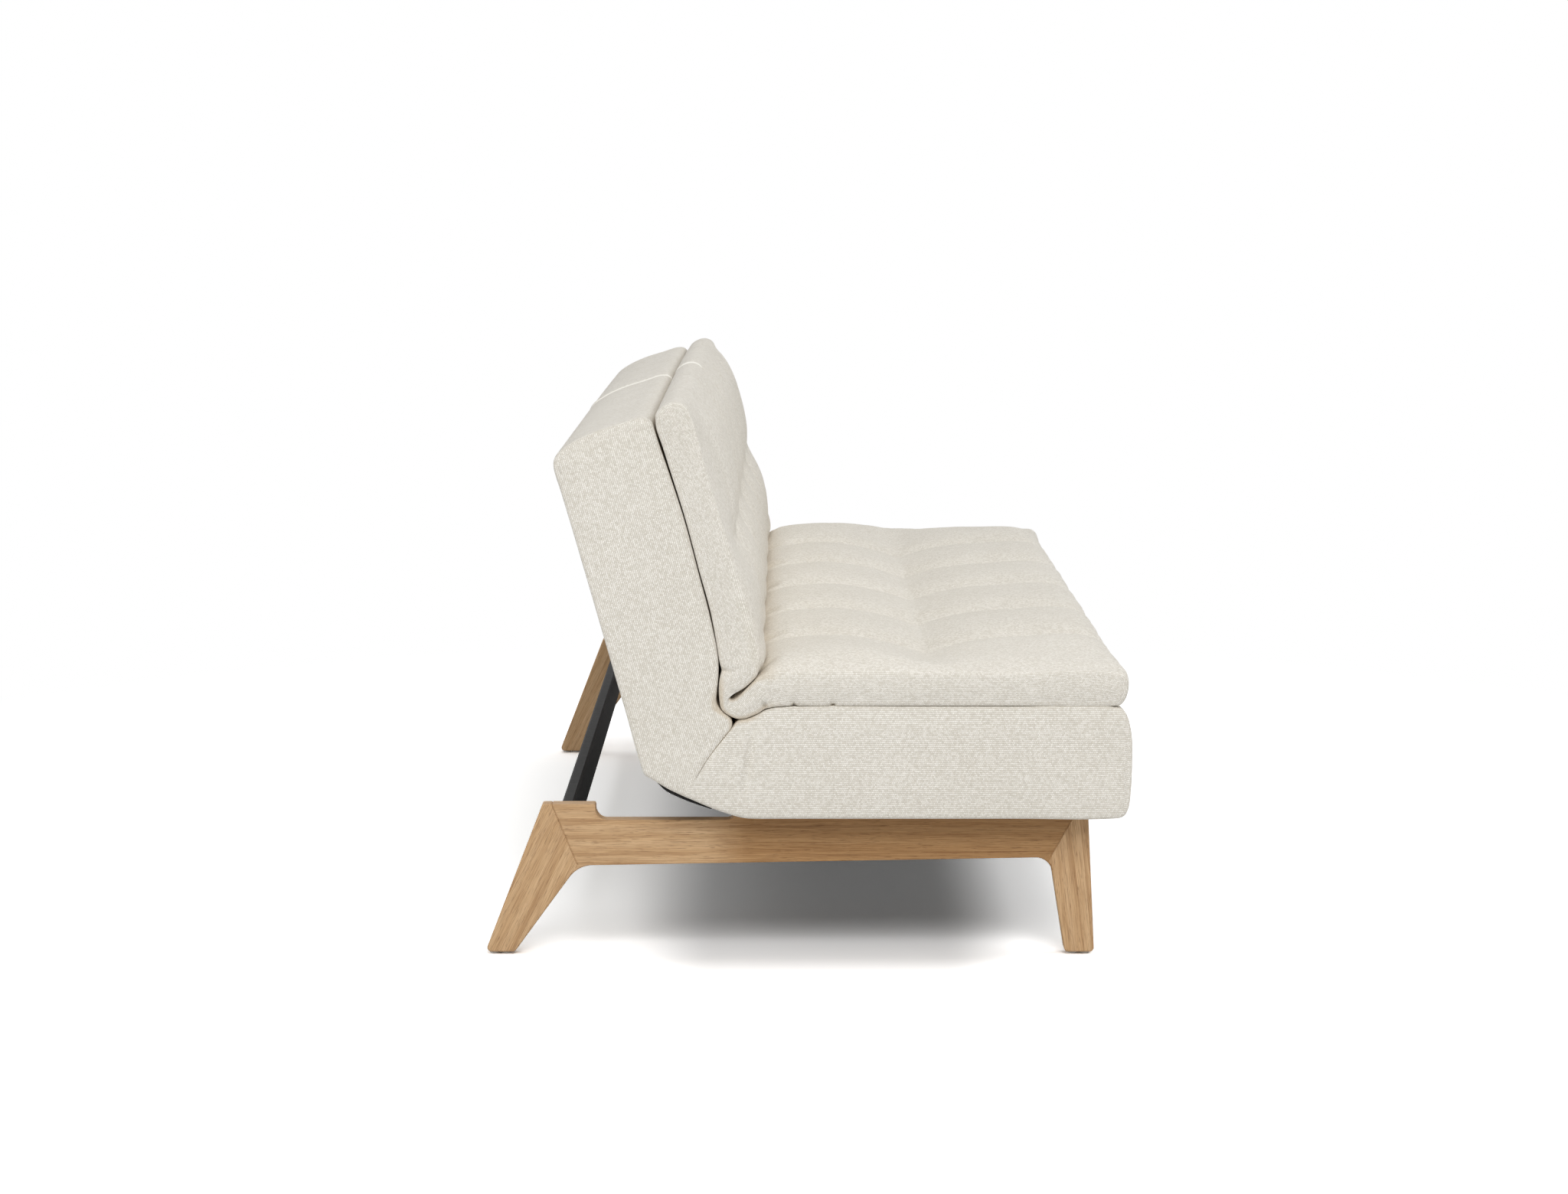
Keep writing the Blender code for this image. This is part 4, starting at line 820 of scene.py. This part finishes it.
baseCushion = dict(
    half=1.05, gap=0.0015, partWidth=0.03, edge=0.003, inner=0.004, layers=20, across=0.0145, radius=0.008,
    dome=0.003, domeReach=0.045,
    guides=[
        (-0.436, 0.2047, -0.4385, 0.36), (-0.424, 0.204, -0.424, 0.3628),
        (-0.3, 0.204, -0.3, 0.363), (-0.15, 0.204, -0.15, 0.363),
        (0.0, 0.204, 0.01, 0.363), (0.045, 0.204, 0.033, 0.3622),
        (0.072, 0.204, 0.05, 0.3606), (0.09, 0.2052, 0.064, 0.3549),
        (0.104, 0.2088, 0.0744, 0.3497), (0.114, 0.212, 0.085, 0.3456),
        (0.123, 0.215, 0.0965, 0.3438), (0.132, 0.2185, 0.1035, 0.3355),
        (0.142, 0.2225, 0.1138, 0.322), (0.152, 0.2268, 0.1264, 0.306),
        (0.162, 0.2312, 0.1396, 0.288), (0.17, 0.2345, 0.1512, 0.269),
        (0.176, 0.2372, 0.1565, 0.2605), (0.184, 0.241, 0.1514, 0.2691),
        (0.196, 0.247, 0.1398, 0.2881), (0.207, 0.2538, 0.1266, 0.3062),
        (0.218, 0.2605, 0.1142, 0.3223), (0.2275, 0.266, 0.104, 0.336),
        (0.2325, 0.28, 0.1074, 0.3482), (0.2375, 0.296, 0.1153, 0.3529),
        (0.244, 0.32, 0.1211, 0.359), (0.25, 0.342, 0.1268, 0.3676),
        (0.256, 0.364, 0.1262, 0.38), (0.262, 0.385, 0.1241, 0.4),
        (0.272, 0.42, 0.1238, 0.428), (0.2855, 0.4678, 0.132, 0.474),
        (0.3103, 0.5549, 0.152, 0.553), (0.3327, 0.6324, 0.172, 0.628),
        (0.344, 0.67, 0.1908, 0.686), (0.348, 0.682, 0.2106, 0.745),
        (0.35, 0.689, 0.215, 0.7605)],
    sizes=[(0, 0.006), (1, 0.008), (2, 0.014), (4, 0.014), (5, 0.008), (9, 0.006), (20, 0.007), (27, 0.007),
           (29, 0.012), (32, 0.012), (34, 0.007)],
    front=[(-0.444, 0.2078), (-0.4487, 0.218), (-0.4522, 0.245), (-0.4535, 0.286), (-0.4535, 0.314),
           (-0.4505, 0.335), (-0.444, 0.354)],
    rear=[(0.3522, 0.699), (0.3512, 0.7085), (0.3435, 0.719), (0.3295, 0.7295), (0.2985, 0.745),
          (0.2585, 0.758), (0.228, 0.7665), (0.219, 0.7655)],
    wallFade=0.04,
    tuck=[(6, 1.0), (8, 0.4), (10.5, 0.25), (11.3, 0.05), (12.5, 0.0), (19.5, 0.0), (20.7, 0.05),
          (21.5, 0.2), (23.3, 0.3), (24.3, 0.9), (25.5, 0.6), (27, 0.3), (28.5, 0.5), (30, 1.0)],
    splitFrom=28, shadeBetweenLayer=20, droop=(0.0045, 0.5), ridge=(0.003, 0.65, 0.04),
    # where along the profile the painted fold shade lies
    shadedUnder=False, paintedShading=[(6.5, 0), (8.5, 1), (25, 1), (27.5, 0)],
    partFrom=18, foldHold=(10, 22), topHold=(30, 0.8), endHold=(0.03, 0.7),
    recess=dict(x=0.9862, front=-0.3985, rear=0.103, top=0.2159, wall=0.0012, to=9),
    mitre=(0.81, 0.586, 0.2796), bendFrom=0.235, bendTo=0.325, levelFrom=0.363, upFrom=(0.11, 1.0),
    lines=[([(0.0755, 0.333), (0.0794, 0.306), (0.0812, 0.2845), (0.0859, 0.2593), (0.0884, 0.24)],
            0.0036, 0.005),
           ([(0.085, 0.335), (0.089, 0.306), (0.091, 0.2845), (0.095, 0.26)], -0.0022, 0.0065),
           ([(0.066, 0.335), (0.069, 0.306), (0.0715, 0.2845), (0.076, 0.26)], -0.001, 0.006),
           ([(0.106, 0.325), (0.1078, 0.3132), (0.1061, 0.2952), (0.1097, 0.268)], 0.0028, 0.005),
           ([(0.127, 0.325), (0.14, 0.31), (0.156, 0.29)], 0.0012, 0.006),
           ([(0.117, 0.33), (0.133, 0.31), (0.15, 0.286)], -0.001, 0.005)],
    bend=0.8, stiff=15.0, pressure=2.5, shrink=-0.006, frames=14, cap=0.004)


def carveBase(co, x, c, k):
    room = baseCushion["recess"]
    y = co[:, 1]
    inside = (c == 0) & (np.abs(x) < room["x"]) & (y > room["front"]) & (y < room["rear"]) & (k < room["to"])
    co[inside, 2] = np.maximum(co[inside, 2], room["top"])


def makeBase(side):
    sign = signs[side]
    cfg = dict(baseCushion, carve=carveBase, ends=tuple(sorted((0.0, sign * baseCushion["half"]))))
    room = cfg["recess"]
    cfg["cuts"] = (sign * room["x"] - room["wall"], sign * room["x"] + room["wall"])
    pad, (a, b, c, k) = shapeHalf(cfg, side + "_base_cushion", sign)
    seatMitre(pad, cfg)
    x = np.abs(coordinates(pad)[:, 0])
    (low, high), (top, topShare), (near, endShare) = cfg["foldHold"], cfg["topHold"], cfg["endHold"]
    whole = (c == 0) | (x < cfg["inner"]) | ((k > low) & (k < high) & (c == cfg["layers"]))
    held = np.where(k > top, topShare, 0.0)
    held[x > cfg["half"] - near] = endShare
    held[whole] = 1.0
    swell(pad, cfg, held)
    finishPad(pad, clothBase, cfg["half"], cfg["lines"])
    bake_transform(pad)
    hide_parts("seat_base", side + "_back_base", side + "_base_fold")


def seatMitre(pad, cfg):
    # on the ends the ribs lie level in front of the mitre and run up the back behind it
    mesh = pad.data
    co = coordinates(pad)
    y, z, at = cfg["mitre"]
    lean, (hy, hz) = mattress["lean"], mattress["hinge"]
    corners = readings(mesh.loops, "vertex_index", 1, int).reshape(-1, 4)
    layer = mesh.uv_layers["weave"]
    flat = readings(layer.data, "uv", 2).reshape(-1, 4, 2)
    centre = co[corners].mean(axis=1)
    wall = np.abs(readings(mesh.polygons, "normal", 3)[:, 0]) > 0.9
    back = wall & (centre[:, 1] * y + centre[:, 2] * z > at)
    level = wall & ~back
    place = co[corners]
    flat[level, :, 0] = cfg["half"] + cfg["levelFrom"] - place[level, :, 2]
    flat[level, :, 1] = place[level, :, 1]
    dy, dz = place[..., 1] - hy, place[..., 2] - hz
    out, up = cfg["upFrom"]
    flat[back, :, 0] = cfg["half"] + out + (dy * math.cos(lean) - dz * math.sin(lean))[back]
    flat[back, :, 1] = up + (dy * math.sin(lean) + dz * math.cos(lean))[back]
    layer.data.foreach_set("uv", flat.ravel())


for side in signs:
    makeBase(side)
print("base cushions made")


# the oak frames' inner corners, rounded by the curve that is cut into the wood

oakCorners = dict(
    outer=0.984, inner=0.955, chamfer=0.0015, sunk=0.0001, steps=12, extra=0.003, glue=0.0004, shorter=0.002,
    mitres=dict(rear=((0.36, 0.2155), (0.3235, 0.1277)), front=((-0.3855, 0.2155), (-0.3434, 0.1395))),
    corners=dict(notch=("rail", (0.2985, 0.193), (-1, 0), (0, 1), 0.016),
                 rear_knee=("rail", (0.3235, 0.1277), (-1, 0.0177), (0.589, -0.808), 0.042),
                 front_knee=("rail", (-0.3434, 0.1395), (1, -0.0177), (-0.157, -0.988), 0.024)))


def woodSides(side):
    cfg, sign = oakCorners, signs[side]
    return sorted((sign * (cfg["inner"] + cfg["sunk"]), sign * (cfg["outer"] - cfg["sunk"])))


def makeCorner(side, name):
    cfg = oakCorners
    part, tip, one, other, radius = cfg["corners"][name]
    tip, one, other = [np.array(v, float) for v in (tip, one, other)]
    one, other = one / np.linalg.norm(one), other / np.linalg.norm(other)
    half = math.acos(float(one @ other)) / 2
    middle = (one + other) / np.linalg.norm(one + other)
    centre = tip + middle * radius / math.sin(half)
    depth = radius / math.sin(half) - radius + cfg["extra"]
    counts = (3, cfg["steps"], 2)
    block = softBlock(side + "_" + name + "_curve", *counts)
    co, (a, b, c) = blockPoints(block, counts)
    start, end = [tip + d * radius / math.tan(half) - centre for d in (one, other)]
    share = (b / cfg["steps"])[:, None]
    spoke = start * (1 - share) + end * share
    spoke /= np.linalg.norm(spoke, axis=1)[:, None]
    edge = np.where((a == 0) | (a == 3), cfg["chamfer"], 0.0)
    out = radius + np.where(c == 0, depth, np.where(c == 1, depth / 2, edge))
    low, high = woodSides(side)
    co[:, 0] = np.array([low, low + cfg["chamfer"], high - cfg["chamfer"], high])[a]
    co[:, 1:] = centre + spoke * out[:, None]
    setCoordinates(block, co)
    finishOak(block, side, part)


def makeGlueLine(side, name):
    # fills the mitre between a leg and the rail just below the surface
    cfg = oakCorners
    top, foot = [np.array(v, float) for v in cfg["mitres"][name]]
    down = (foot - top) / np.linalg.norm(foot - top)
    counts = (1, 8, 2)
    block = softBlock(side + "_" + name + "_glue_line", *counts)
    co, (a, b, c) = blockPoints(block, counts)
    short = down * cfg["shorter"]
    place = (top + short) + (foot - top - 2 * short) * (b / counts[1])[:, None]
    low, high = woodSides(side)
    co[:, 0] = np.where(a == 0, low, high)
    co[:, 1:] = place + np.array([-down[1], down[0]]) * ((c - 1) * cfg["glue"])[:, None]
    setCoordinates(block, co)
    finishOak(block, side)


def finishOak(block, side, part="rail"):
    faceOutward()
    bpy.ops.object.shade_smooth_by_angle(angle=math.radians(30))
    cover(block, nodes[side + "_" + part].data.materials[0])
    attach(block, "base")


for side in signs:
    for name in oakCorners["corners"]:
        makeCorner(side, name)
    for name in oakCorners["mitres"]:
        makeGlueLine(side, name)
print("corners of the oak frames rounded")


# the black band that hangs below the fold

band = dict(
    reach=(0.0018, 1.042), layers=2, across=0.03, radius=0.0014, dome=0.0005, domeReach=0.01,
    guides=[(0.1335, 0.2176, 0.1335, 0.2187), (0.145, 0.2212, 0.1448, 0.223),
            (0.1565, 0.225, 0.1558, 0.2276), (0.1795, 0.2342, 0.1785, 0.2374),
            (0.1985, 0.244, 0.197, 0.2468), (0.211, 0.2565, 0.209, 0.2575)],
    sizes=[(0, 0.006)], front=[(0.1333, 0.2181)], rear=[(0.2105, 0.2572)])


def makeBand(side):
    sign = signs[side]
    cfg = dict(band, ends=tuple(sorted(sign * x for x in band["reach"])))
    pad = shapePad(cfg, side + "_hinge_band")[0]
    finishPad(pad, blackLining)
    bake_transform(pad)
    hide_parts(side + "_base_fold")


for side in signs:
    makeBand(side)
print("hinge bands made")


# the lining under the seat and the cloth panels behind the backs

def finishSheet(sheet, cfg, material, angle):
    skin = sheet.modifiers.new("skin", "SOLIDIFY")
    skin.thickness = cfg["thick"]
    skin.offset = 0
    bpy.ops.object.modifier_apply(modifier="skin")
    bpy.ops.object.shade_smooth_by_angle(angle=math.radians(angle))
    cover(sheet, material)


liningCut = dict(width=1.904, depth=0.4945, centre=(0.0, -0.1441, 0.215), sag=0.0022, thick=0.001)


def makeLining():
    cfg = liningCut
    sheet = addGrid("seat_underlining", 120, 32, place=cfg["centre"])
    sheet.scale = (cfg["width"], cfg["depth"], 1)
    bpy.ops.object.transform_apply(location=True, rotation=True, scale=True)
    for vertex in sheet.data.vertices:
        x, y = vertex.co.x / cfg["width"], (vertex.co.y - cfg["centre"][1]) / cfg["depth"]
        edge = max(0.0, (1 - 4 * x * x)) * max(0.0, (1 - 4 * y * y))
        vertex.co.z -= cfg["sag"] * edge ** 0.5 * (0.8 + 0.2 * math.cos(x * 6 * math.pi * 2))
    finishSheet(sheet, cfg, blackLining, 40)
    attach(sheet, "base")
    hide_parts("seat_lining")


makeLining()

panelCut = dict(inner=0.0318, outer=1.0197, foot=0.0287, top=0.4413, lift=0.003, rim=0.02, sunk=0.0015,
                thick=0.0012)


def makePanel(side):
    cfg = panelCut
    sign = signs[side]
    lean, (hy, hz) = mattress["lean"], mattress["hinge"]
    width, height = cfg["outer"] - cfg["inner"], cfg["top"] - cfg["foot"]
    rear = curveAt([row[:2] for row in baseCushion["guides"]], np.linspace(21, 34, 200)) - (hy, hz)
    behind = (rear @ (math.cos(lean), -math.sin(lean)), rear @ (math.sin(lean), math.cos(lean)))
    sheet = addGrid(side + "_rear_panel", 90, 38)
    for vertex in sheet.data.vertices:
        s, t = vertex.co.x + 0.5, vertex.co.y + 0.5
        edge = min(1.0, min(s, 1 - s) * width / cfg["rim"]) * min(1.0, min(t, 1 - t) * height / cfg["rim"])
        up = cfg["foot"] + t * height
        out = np.interp(up, behind[1], behind[0]) + cfg["lift"] * math.sin(edge * math.pi / 2) - cfg["sunk"]
        vertex.co = (sign * (cfg["inner"] + s * width), hy + up * math.sin(lean) + out * math.cos(lean),
                     hz + up * math.cos(lean) - out * math.sin(lean))
    layer = sheet.data.uv_layers[0]
    layer.name = "weave"
    flat = readings(layer.data, "uv", 2) * (width, height)
    layer.data.foreach_set("uv", flat.ravel())
    faceOutward()
    finishSheet(sheet, cfg, clothBase, 50)
    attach(sheet, side + "_back")
    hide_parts(side + "_back_cover")


for side in signs:
    makePanel(side)
print("lining and rear panels made")


# floor, background and lights

studio = dict(
    floor=14.0, world=0.39, whiteFrom=1.2, whiteTo=2.3, whiteCentre=0.45, whiteStretch=1.9,
    floorUnder=1.16, floorPaintedLit=1.9, floorBounce=0.72, paintedLightMiddle=0.03, paintedLightFrom=0.16, paintedLightTo=0.3,
    paintedLightEnds=(0.98, 1.25),
    lamps=dict(key=((-8.3, -1.2, 6.2), (0, 0, 0.3), (5.0, 5.0), 412.0),
               front=((-0.6, -3.2, 3.5), (0, 0, 0.2), (2.2, 1.2), 38.0),
               rear=((-3.6, 4.4, 2.2), (0.1, 0.2, 0.1), (4.0, 1.6), 51.0),
               ceiling=((1.9, -0.2, 5.0), (0.8, 0, 0.3), (4.0, 3.0), 40.0)))


def bareBench(owner):
    # for a material or world that gets its own output
    owner.use_nodes = True
    owner.node_tree.nodes.clear()
    bench = Bench.__new__(Bench)
    bench.material, bench.tree = owner, owner.node_tree
    return bench


def makeFloor():
    cfg = studio
    floor = addGrid("studio_floor", 8, 8, cfg["floor"] * 2)
    bench = bareBench(bpy.data.materials.new("studio floor"))
    seen = bench.node("ShaderNodeLightPath")
    x, y = bench.parts(bench.node("ShaderNodeTexCoord", out=3))[:2]
    # painted light: paler beside the shadow that the bed throws, which narrows that shadow, and white
    # further out
    beside = (y + cfg["paintedLightMiddle"]).size().ramp(cfg["paintedLightFrom"], cfg["paintedLightTo"]) \
        + x.size().ramp(*cfg["paintedLightEnds"])
    pale = bench.mix(beside, *[tuple([cfg[v]] * 3) for v in ("floorUnder", "floorPaintedLit")])
    tone = bench.mix(seen, tuple([cfg["floorBounce"]] * 3), pale)
    # painted light: the fade to white is centred nearer the camera's end, so it also whitens the bed's
    # shadow beyond its far end
    along = x + cfg["whiteCentre"]
    far = (along * along / cfg["whiteStretch"] + y * y) ** 0.5
    fade = far.ramp(cfg["whiteFrom"], cfg["whiteTo"])
    diffuse = bench.node("ShaderNodeBsdfDiffuse", None, {"Color": tone})
    glow = bench.node("ShaderNodeEmission", None, {"Color": (1, 1, 1, 1), "Strength": 1.0})
    mixed = bench.node("ShaderNodeMixShader", None, {0: fade * seen, 1: diffuse, 2: glow})
    bench.node("ShaderNodeOutputMaterial", None, {0: mixed}, ())
    floor.data.materials.append(bench.material)


def makeWorld():
    bench = bareBench(bpy.data.worlds.new("studio"))
    bpy.context.scene.world = bench.material
    seen, glossy, through = bench.node(
        "ShaderNodeLightPath", out=("Is Camera Ray", "Is Glossy Ray", "Is Transmission Ray"))
    level = (seen + glossy + through).ramp(0.0, 1.0, studio["world"], 1.0)
    back = bench.node("ShaderNodeBackground", None, {"Color": (1, 1, 1, 1), "Strength": level})
    bench.node("ShaderNodeOutputWorld", None, {0: back}, ())


def makeLamp(name, place, aim, size, power):
    bpy.ops.object.select_all(action="DESELECT")
    bpy.ops.object.light_add(type="AREA", location=place)
    lamp = bpy.context.object
    lamp.name = name
    lamp.data.shape = "RECTANGLE"
    lamp.data.size, lamp.data.size_y = size
    lamp.data.energy = power
    away = np.array(place) - np.array(aim)
    flat = math.hypot(away[0], away[1])
    lamp.rotation_euler = (math.atan2(flat, away[2]), 0, math.atan2(away[1], away[0]) + math.pi / 2)


makeFloor()
makeWorld()
for name, lamp in studio["lamps"].items():
    makeLamp(name, *lamp)
bpy.context.scene.view_settings.view_transform = "Standard"
print("studio made")
